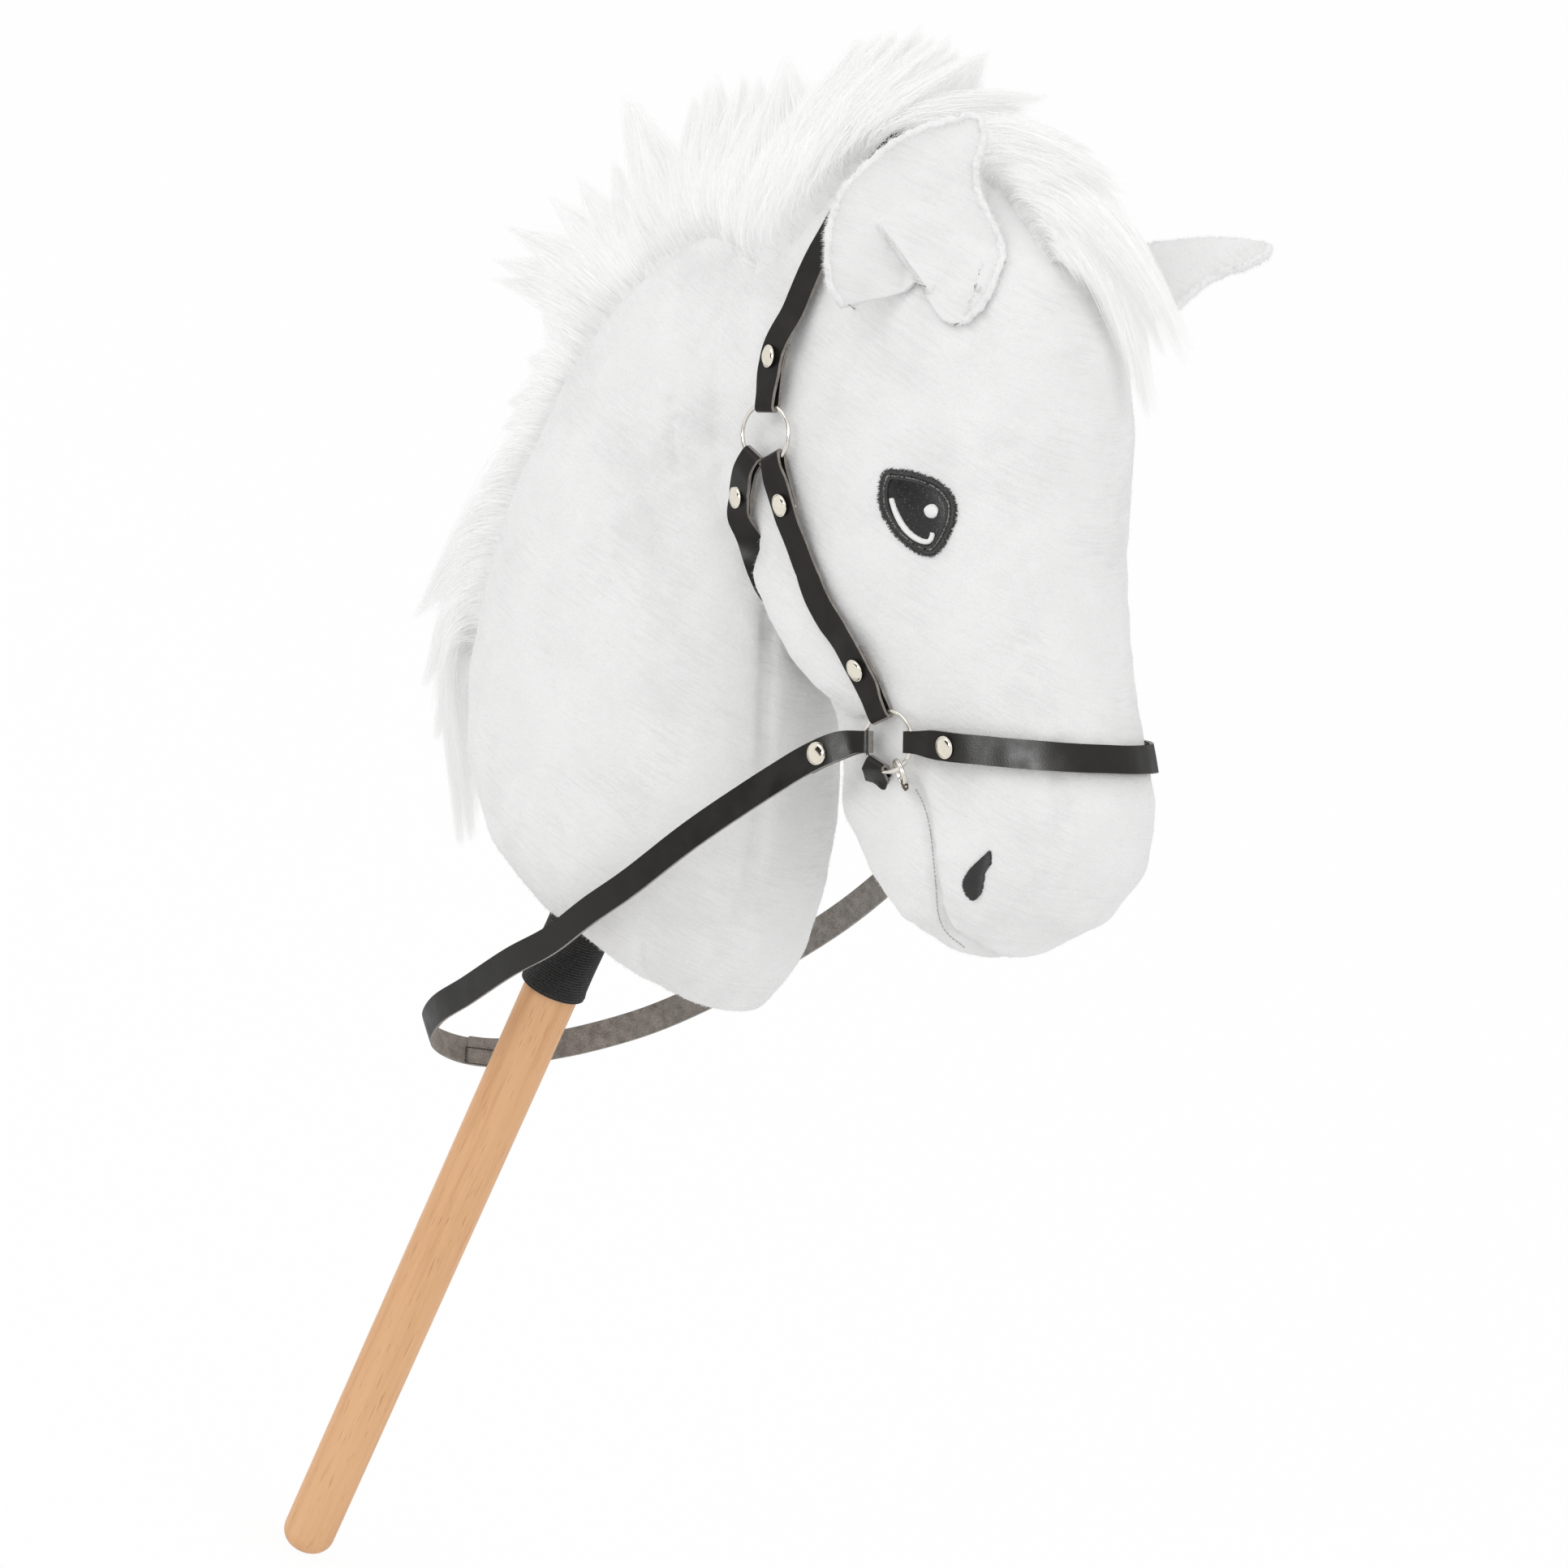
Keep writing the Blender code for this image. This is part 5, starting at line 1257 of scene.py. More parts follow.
def path_stitches(line, width, pitch, ragged):
    """Stitches square to an open line, narrower towards its ends."""
    marks = spaced(line, pitch, closed=False)
    stitches = []
    for index, (place, way) in enumerate(marks):
        share = index / (len(marks) - 1)
        half = width / 2 * (GLINT_ENDS + (1.0 - GLINT_ENDS) * math.sin(math.pi * share) ** 0.6)
        inward = Vector((way.y, -way.x))
        start = place - inward * (half + random.uniform(0.0, ragged))
        stitches.append((start, place + inward * (half + random.uniform(0.0, ragged))))
    return stitches


def open_line(points, steps=8):
    """A smooth open line through some places."""
    points = [Vector(point) for point in points]
    first = points[0] * 2 - points[1]
    last = points[-1] * 2 - points[-2]
    line = smooth_loop([first, *points, last], steps)
    return line[steps: len(points) * steps + 1]


def patch_mesh(name, outline, inset, side):
    """A padded patch inside an outline, laid on the plush."""
    middle = Vector(EYE_MIDDLE)
    work = bmesh.new()
    rings = []
    for row in range(PATCH_ROWS + 2):
        share = 1.0 - row / (PATCH_ROWS + 1)
        height = PATCH_LIFT + PATCH_DOME * (1.0 - share ** 3)
        ring = []
        for place in outline if share > 0.0 else [middle]:
            edge = place + (middle - place).normalized() * inset
            base, normal = seen_at(middle + (edge - middle) * share, side)
            ring.append(work.verts.new(base + normal * height))
        rings.append(ring)
    return mesh_through(name, work, rings)


def add_eye(side, word):
    outline = smooth_loop(EYE_OUTLINE)
    name = f"eye_{word}_leatherette"
    patch = patch_mesh(name, outline, SATIN_BAND * PATCH_INSET, side)
    add_piece(name, patch, "head", (EYE_BLACK,),
              (f"eye_patch_{word}", f"eye_ring_{word}", f"eye_glint_{word}", f"eye_dot_{word}"))
    band = [pair for row in SATIN_ROWS for pair in band_stitches(outline, *row)]
    add_stitches(f"eye_band_{word}", band, side, BAND_HEIGHTS, BLACK_THREAD)
    inner = band_stitches(outline, *INNER_ROW)
    add_stitches(f"eye_inner_band_{word}", inner, side, INNER_HEIGHTS, BLACK_THREAD)
    lint = [pair for pair in band_stitches(outline, *LINT_ROW) if random.random() < LINT_LEFT]
    add_stitches(f"eye_edge_lint_{word}", lint, side, LINT_HEIGHTS, GREY_THREAD,
                 LINT_RADIUS)
    white = path_stitches(open_line(GLINT_LINE), *GLINT_ROW)
    dot = [Vector(DOT_MIDDLE) + Vector((math.cos(angle), math.sin(angle))) * DOT_RADIUS
           for angle in angles_round(DOT_SIDES)]
    white += filled_stitches(dot, *DOT_FILL)
    add_stitches(f"eye_lights_{word}", white, side, LIGHT_HEIGHTS, WHITE_THREAD)


def add_nostril(side, word):
    outline = smooth_loop(NOSTRIL_OUTLINE)
    rows = [pair for fill in NOSTRIL_FILLS for pair in filled_stitches(outline, *fill)]
    obj = add_stitches(f"nostril_{word}_satin", rows, side, NOSTRIL_HEIGHTS, BLACK_THREAD)
    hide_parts(f"nostril_{word}")


# Painted shade: grey stitches that darken the line of each mouth seam
def add_mouth_shade_stitches(side, word):
    stitches = [(place, place + way * random.uniform(1.0, 1.6))
                for place, way in spaced(open_line(MOUTH_SHADE_LINE), MOUTH_PITCH, closed=False)]
    add_stitches(f"mouth_thread_{word}", stitches, side, MOUTH_HEIGHTS, GREY_THREAD,
                 MOUTH_SHADE_STITCH_RADIUS)


for side_sign, side_word in zip((-1.0, 1.0), SIDES):
    add_eye(side_sign, side_word)
    add_nostril(side_sign, side_word)
    add_mouth_shade_stitches(side_sign, side_word)


# Ears

# The leaf of the right ear, laid flat: millimetres across and along it from its root
EAR_REAR_EDGE = ((-15.5, -12.3), (-21.6, -8.2), (-26.2, -2.1), (-30.2, 7.2), (-32.6, 15.8),
                 (-33.4, 28.2), (-30.2, 39.3), (-21.2, 56.8), (-9.5, 69.5), (1.0, 77.0))
EAR_FRONT_EDGE = ((31.1, -3.5), (35.8, 2.5), (39.6, 11.0), (40.4, 19.9), (38.5, 29.0),
                  (33.7, 37.1), (27.2, 43.1), (21.8, 48.0), (17.0, 54.7), (14.2, 62.1),
                  (14.1, 67.7), (12.8, 74.3), (9.4, 79.6))
EAR_HEM = ((-15.5, -12.3), (-6.2, -6.0), (1.6, -0.9), (8.0, 4.6), (11.4, 7.2), (19.3, 1.2),
           (26.7, -3.2), (31.1, -3.5))
EAR_TIP = ((1.0, 77.0), (3.6, 78.9), (6.6, 79.9), (9.4, 79.6))
PLEAT_FOOT = (11.4, 7.2)
PLEAT_HEAD = (-16.1, 24.8)
PLEAT_RISE = 8.0
PLEAT_SINK = 0.55
PLEAT_REACH = (11.0, 9.0)
PLEAT_BLEND = 0.7
EAR_CUP = 10.0
CUP_ROUNDNESS = 2.2
EAR_HEIGHT = 80.0
EAR_COLUMNS = 84
EAR_ROWS = 84
EAR_WALL = 0.0024
EAR_CLEAR = 0.003
RIM_RADIUS = 0.0015
RIM_SIDES = 12
RIM_STEPS = 260
RIM_WOBBLE = 0.55
RIM_FINENESS = 420.0
RIM_SUNK = 0.45
RIM_DEEP = 1.15
RIM_ENDS = 0.35
RIM_RUN_IN = 8

# Short fibres on each leaf and along its rim: count, length and width
EAR_NAP = (16000, 0.0014, 0.0002)
EAR_FRINGE = (9000, 0.0022, 0.0002)

# The soft waves of the leaf: layer of noise, fineness and height in millimetres
EAR_WAVES = ((3.0, 0.055, 1.1), (9.0, 0.25, 0.22))

# Each ear's root, its length way and the way its hollow faces, in the head frame, and then 1 or -1
# for the side on which its front edge lies
EARS = {
    "right": ((0.2321, -0.0556, 0.2890), (0.290, 0.200, 0.921), (0.643, -0.766, 0.0), 1.0),
    "left": ((0.2520, 0.0430, 0.2965), (0.750, 0.620, 0.175), (-0.118, 0.453, -0.882), -1.0),
}


def resampled(line, count):
    """Evenly spaced places along a line of places."""
    line = np.array([place[:] for place in line])
    reach = np.concatenate(([0.0], np.cumsum(np.linalg.norm(np.diff(line, axis=0), axis=1))))
    marks = np.linspace(0.0, reach[-1], count)
    return np.stack([np.interp(marks, reach, column) for column in line.T], axis=1)


def even_line(points, count):
    """A smooth line through some places, as evenly spaced places."""
    return resampled(open_line(points, 12), count)


def leaf_places():
    """The leaf laid flat: a grid blended between its four edges, rows from hem to tip."""
    rear = even_line(EAR_REAR_EDGE, EAR_ROWS)[:, None, :]
    front = even_line(EAR_FRONT_EDGE, EAR_ROWS)[:, None, :]
    hem = even_line(EAR_HEM, EAR_COLUMNS)[None, :, :]
    tip = even_line(EAR_TIP, EAR_COLUMNS)[None, :, :]
    s = np.linspace(0.0, 1.0, EAR_COLUMNS)[None, :, None]
    t = np.linspace(0.0, 1.0, EAR_ROWS)[:, None, None]
    sides = (1 - s) * rear + s * front
    ends = (1 - t) * hem + t * tip
    corners = ((1 - s) * (1 - t) * hem[:, :1] + s * (1 - t) * hem[:, -1:]
               + (1 - s) * t * tip[:, :1] + s * t * tip[:, -1:])
    return sides + ends - corners


def leaf_heights(flat):
    """How far the leaf stands towards its hollow side: the cup and the pleat at its root."""
    s = np.linspace(-1.0, 1.0, EAR_COLUMNS)[None, :]
    share = np.clip(flat[:, :, 1] / EAR_HEIGHT, 0.0, 1.0)
    cup = EAR_CUP * (1.05 - share) * np.abs(s) ** CUP_ROUNDNESS
    foot = np.array(PLEAT_FOOT)
    run = np.array(PLEAT_HEAD) - foot
    length = np.linalg.norm(run)
    along = ((flat - foot) @ run) / length ** 2
    beside = ((flat - foot) @ np.array((-run[1], run[0]))) / length
    fade = np.clip(1.0 - along, 0.0, 1.0) ** 0.8 * np.clip(1.3 + along * 4.0, 0.0, 1.0)
    above, below = (np.exp(-np.abs(beside) / reach) for reach in PLEAT_REACH)
    below *= -PLEAT_SINK
    step = smooth_ramp(-PLEAT_BLEND, PLEAT_BLEND, -beside)
    pleat = PLEAT_RISE * fade * (below + (above - below) * step)
    return cup + pleat


def off_the_skin(place, clear, reach=1.0):
    """The place, moved out of the plush where it would sink in."""
    near, normal, _, _ = SKIN_TREE.find_nearest(place, reach)
    height = (place - near).dot(normal) if near else clear
    return place + normal * (clear - height) if height < clear else place


def grid_faces(rows, columns):
    index = np.arange(rows * columns).reshape(rows, columns)
    return np.stack((index[:-1, :-1], index[:-1, 1:], index[1:, 1:], index[1:, :-1]), axis=-1)


def ear_frame(word):
    base, length, facing, handed = EARS[word]
    along = head_way(*length)
    outward = head_way(*facing)
    outward = (outward - along * outward.dot(along)).normalized()
    across = along.cross(outward) * handed
    return head_point(*base), across, along, outward


def ear_mesh(word):
    """The ear's folded leaf, with plush outside and lining inside, and its free edge."""
    base, across, along, outward = ear_frame(word)
    flat = leaf_places()
    heights = leaf_heights(flat)
    places = []
    for (x, y), height in zip(flat.reshape(-1, 2), heights.ravel()):
        wave = sum(high * noise.noise(Vector((x, y, layer)) * fine) for layer, fine, high in EAR_WAVES)
        place = base + (across * x + along * y + outward * (height + wave)) * MM
        places.append(off_the_skin(place, EAR_CLEAR))
    sheet = mesh_of(f"ear_{word}_sheet", np.array(places), grid_faces(EAR_ROWS, EAR_COLUMNS))
    if (read(sheet.polygons, "normal") @ np.array(outward)).sum() < 0.0:
        sheet.flip_normals()
    edge = free_edge(vertex_places(sheet).reshape(EAR_ROWS, EAR_COLUMNS, 3))
    mesh = with_modifiers(
        sheet, ("SOLIDIFY", {"thickness": EAR_WALL, "offset": -1.0, "material_offset": 1,
                             "material_offset_rim": 1}),
    )
    return mesh, edge


def free_edge(grid):
    """The rear edge, the tip and the front edge in order, from hem to hem."""
    return np.concatenate((grid[:, 0], grid[-1, 1:-1], grid[::-1, -1]))


def rim_mesh(name, edge, outward):
    """The plush turned over the ear's edge: a soft uneven roll."""
    line = resampled(edge, RIM_STEPS)
    work = bmesh.new()
    rings = []
    for index, place in enumerate(line):
        ahead = line[min(index + 1, RIM_STEPS - 1)] - line[max(index - 1, 0)]
        way = Vector(ahead).normalized()
        side = way.cross(outward).normalized()
        centre = Vector(place) - outward * (EAR_WALL * RIM_SUNK)
        radius = RIM_RADIUS * min(1.0, RIM_ENDS + min(index, RIM_STEPS - 1 - index) / RIM_RUN_IN)
        ring = add_ring(work, centre, side * radius, side.cross(way) * (radius * RIM_DEEP), RIM_SIDES)
        for vertex in ring:
            vertex.co += (vertex.co - centre) * (RIM_WOBBLE * noise.noise(vertex.co * RIM_FINENESS))
        rings.append(ring)
    return mesh_through(name, work, rings, capped=True)


# Sewing thread that shows along the right ear's hem, in the photograph's view: ends of each stitch
HEM_STITCHES = (((126.0, 290.3), (128.6, 288.4)), ((156.0, 298.8), (158.8, 298.0)),
                ((170.6, 281.6), (172.6, 282.4)))
HEM_THREAD_RADIUS = 0.00016
HEM_BASE = 0.0004
HEM_RISE = 0.0006
LOOP_LINE = ((252.6, 289.8), (256.4, 289.6), (259.0, 286.6), (258.4, 283.2), (254.8, 281.6),
             (251.6, 283.0))
LOOP_DEPTH = 0.130
LOOP_RADIUS = 0.0005


def add_hem_thread(tree):
    lines = []
    for start, end in HEM_STITCHES:
        line = []
        for share in (0.0, 0.25, 0.5, 0.75, 1.0):
            spot = Vector(start).lerp(Vector(end), share)
            hit = seen_at(spot, -1.0, tree)[0] or seen_at(spot, -1.0)[0]
            line.append(hit + VIEW_BACK * (HEM_BASE + HEM_RISE * math.sin(math.pi * share)))
        lines.append(line)
    tube_piece("ear_hem_thread", lines, [HEM_THREAD_RADIUS] * 5, VIEW_BACK, BROWN_THREAD)


def add_thread_loop(tree):
    """A loop of white thread left loose at the left ear, with both ends in its plush."""
    line = [view_point(spot, LOOP_DEPTH) for spot in open_line(LOOP_LINE)]
    first = tree.find_nearest(line[0])[0] - line[0]
    last = tree.find_nearest(line[-1])[0] - line[-1]
    line = [place + first.lerp(last, index / (len(line) - 1)) for index, place in enumerate(line)]
    tube_piece("ear_loose_thread", [line], [LOOP_RADIUS] * len(line), VIEW_BACK,
               WHITE_THREAD, sides=8)


def add_ears():
    for number, word in enumerate(EARS):
        mesh, edge = ear_mesh(word)
        add_piece(f"ear_{word}_leaf", finished(mesh), "head", (LINING, PLUSH),
                  (f"ear_{word}", f"ear_lining_{word}"))
        rim = rim_mesh(f"ear_{word}_rim", edge, ear_frame(word)[3])
        add_piece(f"ear_{word}_rim", rim, "head", (FUZZ,))
        add_fuzz(f"ear_{word}_nap", mesh, "plush", FUZZ, *EAR_NAP, 31 + number)
        add_fuzz(f"ear_{word}_fringe", rim, "plush", FUZZ, *EAR_FRINGE, 41 + number)
        if word == "right":
            add_hem_thread(tree_of(mesh))
        else:
            add_thread_loop(tree_of(mesh))


add_ears()


# Mane and forelock

CREST_MIDDLE = (0.105, 0.205)
STRIP_HALF = 0.017
CROWN_HALF = 0.043
CROWN_ANGLES = (53.0, 57.0, 64.0, 100.0)
STRAND_BEND = 0.42
STRAND_WAVE = 0.0022
STRAND_TWIST = 0.45
STRAND_LOOSE = 0.0018
STRAND_STEPS = 7
STRAND_WIDTH = 0.00042
STRAND_TAPER = 0.93
TUFT_SPLAY = 0.18
TUFT_SCATTER = 0.6
TIP_SCATTER = 3.0
ASIDE_SCATTER = 1.2
ROOT_SCATTER = 0.55
SIDES_SHORTER = 0.32
TUFT_ENDS_SHORTER = 0.40
TUFT_ENDS_RARE = 1.8
TUFT_REACH = 0.8
LOOSE_ENDS = (0.42, 0.72)
ROOT_ROWS = 90
ROOT_COLUMNS = 13
CORE_ROWS = 120
CORE_COLUMNS = 25
# Where along a strand the core takes its colour: painted shade that keeps the core greyer than the tips
CORE_SHARE = 0.35
CORE_SUNK = 0.0006
CORE_WAVES = 0.0012
CORE_FINENESS = 90.0
CORE_RUN_IN = 6.0
CORE_ENDS = 0.15
CORE_WINDOW = 7
PUSH_REACH = 0.02

# Each batch of strands: count, whether it is gathered in tufts, and how far it clears the plush
MANE_BATCHES = ((33000, True, 0.0), (30000, True, 0.0), (30000, False, 0.0))
FORELOCK_BATCHES = ((24000, True, 0.001), (14000, False, 0.001))

# Tufts along the crest: the root's angle round the crest's middle in degrees, then the tip's place
# in side view, millimetres forward and up the face
MANE_TUFTS = (
    (203.5, -52, 60), (202.0, -46, 62), (198.0, -66, 105), (193.0, -73, 128), (187.0, -78, 158),
    (182.0, -68, 174), (177.0, -61, 185), (171.0, -48, 201), (166.0, -34, 222), (160.0, -28, 238),
    (155.0, -26, 249), (149.0, -14, 268), (143.0, -5, 286), (139.0, -9, 293), (136.0, -14, 301),
    (133.5, -34, 302), (130.5, -35, 311), (126.0, -27, 325), (121.5, -2, 337), (118.5, 14, 345),
    (115.0, 34, 351), (111.5, 54, 354), (105.0, 39, 380), (103.0, 43, 379), (98.0, 79, 377),
    (95.0, 87, 383), (92.5, 92, 386),
    (89.0, 106, 386), (86.0, 115, 384), (81.0, 132, 384), (76.0, 130, 392), (73.0, 156, 382),
    (70.5, 164, 391), (69.0, 169, 398), (67.0, 180, 400), (65.0, 188, 401), (63.5, 197, 398),
    (62.0, 202, 403), (60.5, 209, 398), (59.0, 218, 398), (58.0, 222, 392), (56.5, 239, 391),
)
FRONT_TUFTS = (
    (55.0, 262, 371), (54.0, 248, 366), (52.0, 262, 356), (50.0, 270, 344), (48.0, 288, 347),
    (46.0, 300, 336), (44.5, 304, 329), (43.0, 303, 323), (41.0, 306, 315), (39.0, 312, 296),
    (37.0, 320, 284), (36.0, 337, 264), (35.0, 334, 258), (33.0, 322, 262), (31.5, 318, 238),
    (30.0, 314, 236), (28.5, 305, 262),
)


def crest_roots(angles):
    """The skin and its normals under the pile strip: rows by angle, columns across the crest."""
    places = np.empty((len(angles), ROOT_COLUMNS, 3))
    normals = np.empty_like(places)
    for row, degrees in enumerate(angles):
        angle = math.radians(degrees)
        way = Vector((math.cos(angle), 0.0, math.sin(angle)))
        behind_ears = np.interp(degrees, CROWN_ANGLES, (0.0, 1.0, 1.0, 0.0))
        half = STRIP_HALF + (CROWN_HALF - STRIP_HALF) * behind_ears
        for column, aside in enumerate(np.linspace(-half, half, ROOT_COLUMNS)):
            start = Vector((CREST_MIDDLE[0], aside, CREST_MIDDLE[1])) + way * 0.3
            hit, normal, _, _ = SKIN_TREE.ray_cast(HEAD @ start, HEAD_TURN @ -way)
            places[row, column] = TO_HEAD @ hit
            normals[row, column] = TO_HEAD.to_3x3() @ normal
    return places, normals


def in_table(table, rows, columns):
    """Values between a table's entries, at fractional rows and columns."""
    low_row = np.clip(rows.astype(int), 0, table.shape[0] - 2)
    low_column = np.clip(columns.astype(int), 0, table.shape[1] - 2)
    part = (rows - low_row)[:, None]
    share = (columns - low_column)[:, None]
    first = table[low_row, low_column] * (1 - share) + table[low_row, low_column + 1] * share
    second = table[low_row + 1, low_column] * (1 - share) + table[low_row + 1, low_column + 1] * share
    return first * (1 - part) + second * part


def swept(roots, normals, tips, loose, t):
    """Places along strands that rise square to the skin and lean over to their tips."""
    reach = np.linalg.norm(tips - roots, axis=1)[:, None]
    bends = roots + normals * reach * STRAND_BEND + loose
    return (1 - t) ** 2 * roots[:, None] + 2 * t * (1 - t) * bends[:, None] + t ** 2 * tips[:, None]


class Pile:
    """Strands of one stretch of the crest."""

    def __init__(self, tufts, tip_aside, tip_splay, seed):
        self.tufts = np.array(sorted(tufts))
        self.low = self.tufts[0, 0] - 0.5
        self.high = self.tufts[-1, 0] + 0.5
        self.angles = np.linspace(self.low - 1.5, self.high + 1.5, ROOT_ROWS)
        self.places, self.normals = crest_roots(self.angles)
        self.tip_aside = tip_aside
        self.tip_splay = tip_splay
        self.chance = np.random.default_rng(seed)

    def roots(self, degrees, aside):
        rows = np.interp(degrees, self.angles, np.arange(ROOT_ROWS))
        columns = (aside + 1.0) / 2 * (ROOT_COLUMNS - 1)
        return in_table(self.places, rows, columns), unit(in_table(self.normals, rows, columns))

    def tips(self, degrees, aside, tuft):
        """Where strands end: at their tuft's tip, or on the line through all the tips."""
        side_view = np.stack([np.interp(degrees, self.tufts[:, 0], self.tufts[:, axis])
                              for axis in (1, 2)], axis=1)
        picked = tuft >= 0
        side_view[picked] = self.tufts[tuft[picked], 1:]
        count = len(degrees)
        spread = np.where(picked, TUFT_SCATTER, TIP_SCATTER)[:, None]
        side_view = side_view + self.chance.normal(0.0, 1.0, (count, 2)) * spread
        splay = self.tip_splay * np.where(picked, TUFT_SPLAY, 1.0)
        across = self.tip_aside + aside * splay + self.chance.normal(0.0, ASIDE_SCATTER, count)
        return np.stack((side_view[:, 0], across, side_view[:, 1]), axis=1) * MM

    def core(self, name, height):
        """The dense lower part of the pile as one soft mass over the strip."""
        degrees = np.repeat(np.linspace(self.low, self.high, CORE_ROWS), CORE_COLUMNS)
        aside = np.tile(np.linspace(-1.0, 1.0, CORE_COLUMNS), CORE_ROWS)
        roots, normals = self.roots(degrees, aside)
        window = np.full(CORE_WINDOW, 1 / CORE_WINDOW)
        forward, up = (np.convolve(np.pad(self.tufts[:, axis], CORE_WINDOW // 2, "edge"), window, "valid")
                       for axis in (1, 2))
        forward, up = (np.interp(degrees, self.tufts[:, 0], line) for line in (forward, up))
        tips = np.stack((forward, self.tip_aside + aside * self.tip_splay, up), axis=1) * MM
        run_in = smooth_ramp(self.low, self.low + CORE_RUN_IN, degrees)
        run_in = run_in * (1.0 - smooth_ramp(self.high - CORE_RUN_IN, self.high, degrees))
        t = height * np.sqrt(1.0 - aside ** 2) * (CORE_ENDS + (1.0 - CORE_ENDS) * run_in)
        places = swept(roots, normals, tips, 0.0, t[:, None, None])[:, 0] - normals * CORE_SUNK
        places = carried(places, HEAD)
        places += CORE_WAVES * unit(normals) * noise_at(places, CORE_FINENESS)[:, None]
        # Painted shade: the core is coloured as the strands are at CORE_SHARE of their length, greyer than
        # their tips
        return mesh_of(name, places, grid_faces(CORE_ROWS, CORE_COLUMNS),
                       share=np.full(len(places), CORE_SHARE), tone=np.ones(len(places)))

    def strands(self, count, tufted):
        """Centre lines in the head frame, each strand's rise and its own tone."""
        tuft = np.full(count, -1)
        degrees = self.chance.uniform(self.low, self.high, count)
        if tufted:
            tuft = self.chance.integers(0, len(self.tufts), count)
            gaps = np.gradient(self.tufts[:, 0])
            degrees = self.chance.normal(0.0, ROOT_SCATTER, count) * (gaps[tuft] + TUFT_REACH)
            degrees += self.tufts[tuft, 0]
            degrees = np.clip(degrees, self.low, self.high)
        aside = self.chance.uniform(-1.0, 1.0, count)
        if tufted:
            aside *= self.chance.uniform(0.2, 1.0, count)
        roots, normals = self.roots(degrees, aside)
        tips = self.tips(degrees, aside, tuft)
        shrink = 1.0 - SIDES_SHORTER * aside ** 2
        tips[:, (0, 2)] = roots[:, (0, 2)] + (tips - roots)[:, (0, 2)] * shrink[:, None]
        if tufted:
            ends = 1.0 - TUFT_ENDS_SHORTER * self.chance.random(count) ** TUFT_ENDS_RARE
        else:
            ends = self.chance.uniform(*LOOSE_ENDS, count)
        loose = self.chance.normal(0.0, STRAND_LOOSE, (count, 3))
        t = np.linspace(0.0, 1.0, STRAND_STEPS)[None, :, None] * ends[:, None, None]
        lines = swept(roots, normals, tips, loose, t)
        phase = self.chance.uniform(0.0, 6.28, (count, 1, 3))
        lines += STRAND_WAVE * t * (1.1 - t) * np.sin(t * 7.0 + phase)
        return lines, normals, self.chance.random(count)


def strand_mesh(name, lines, rises, tones, chance):
    """Flat tapering fibres along centre lines given in the head frame."""
    lines = carried(lines, HEAD)
    rises = unit(rises @ np.array(HEAD_TURN).T + chance.normal(0.0, STRAND_TWIST, rises.shape))
    count, steps = lines.shape[:2]
    ways = unit(np.gradient(lines, axis=1))
    across = unit(np.cross(ways, rises[:, None, :]) + 1e-9)
    share = np.linspace(0.0, 1.0, steps)
    half = STRAND_WIDTH / 2 * (1.0 - share ** 2.2 * STRAND_TAPER)[None, :, None]
    half = half * (0.7 + 0.6 * tones)[:, None, None]
    points = np.stack((lines - across * half, lines + across * half), axis=2)
    base = np.arange(count * steps * 2).reshape(count, steps, 2)
    quads = np.stack((base[:, :-1, 0], base[:, :-1, 1], base[:, 1:, 1], base[:, 1:, 0]), axis=-1)
    return mesh_of(name, points, quads, share=np.tile(np.repeat(share, 2), count),
                   tone=np.repeat(tones, steps * 2))


def pushed_out(lines, clear):
    """The strands' places, lifted off the plush where they would sink in."""
    for strand in lines:
        for index in range(1, len(strand)):
            strand[index] = TO_HEAD @ off_the_skin(HEAD @ Vector(strand[index]), clear, PUSH_REACH)
    return lines


def add_pile(node, pile, core_height, batches):
    core = pile.core(f"{node}_core", core_height)
    add_piece(f"{node}_core", core, "head", (PILE,), (node,))
    for number, (count, tufted, clear) in enumerate(batches):
        lines, rises, tones = pile.strands(count, tufted)
        if clear:
            lines = pushed_out(lines, clear)
        name = f"{node}_strands_{number + 1}"
        mesh = strand_mesh(name, lines, rises, tones, pile.chance)
        add_piece(name, mesh, "head", (PILE,))


add_pile("mane", Pile(MANE_TUFTS, tip_aside=0.0, tip_splay=24.0, seed=51), 0.46, MANE_BATCHES)
add_pile("forelock", Pile(FRONT_TUFTS, tip_aside=12.0, tip_splay=15.0, seed=52), 0.40, FORELOCK_BATCHES)


# Stick, cuff and socket

STICK_RADIUS = 0.012
FOOT_RADIUS = 0.01125
FOOT_ROUNDING = 0.0088
TAPER_START = 0.42
CHAMFER = 0.0015
SHAFT_STEPS = 24
FOOT_STEPS = 8
CUFF_GAP = 0.0003
CUFF_WALL = 0.0015
CUFF_ROWS = 230
CUFF_FLARE = (0.030, 0.041)
CUFF_HEM = 0.0004
CUFF_HEM_AT = 0.0018
CUFF_HEM_REACH = 0.0016
CUFF_SHELF = 0.040
CUFF_SHELF_SLOPE = 0.0030
CUFF_RIB = 0.00125
CUFF_RIB_DEPTH = 0.00028
SOCKET_ROUNDING = 0.0004


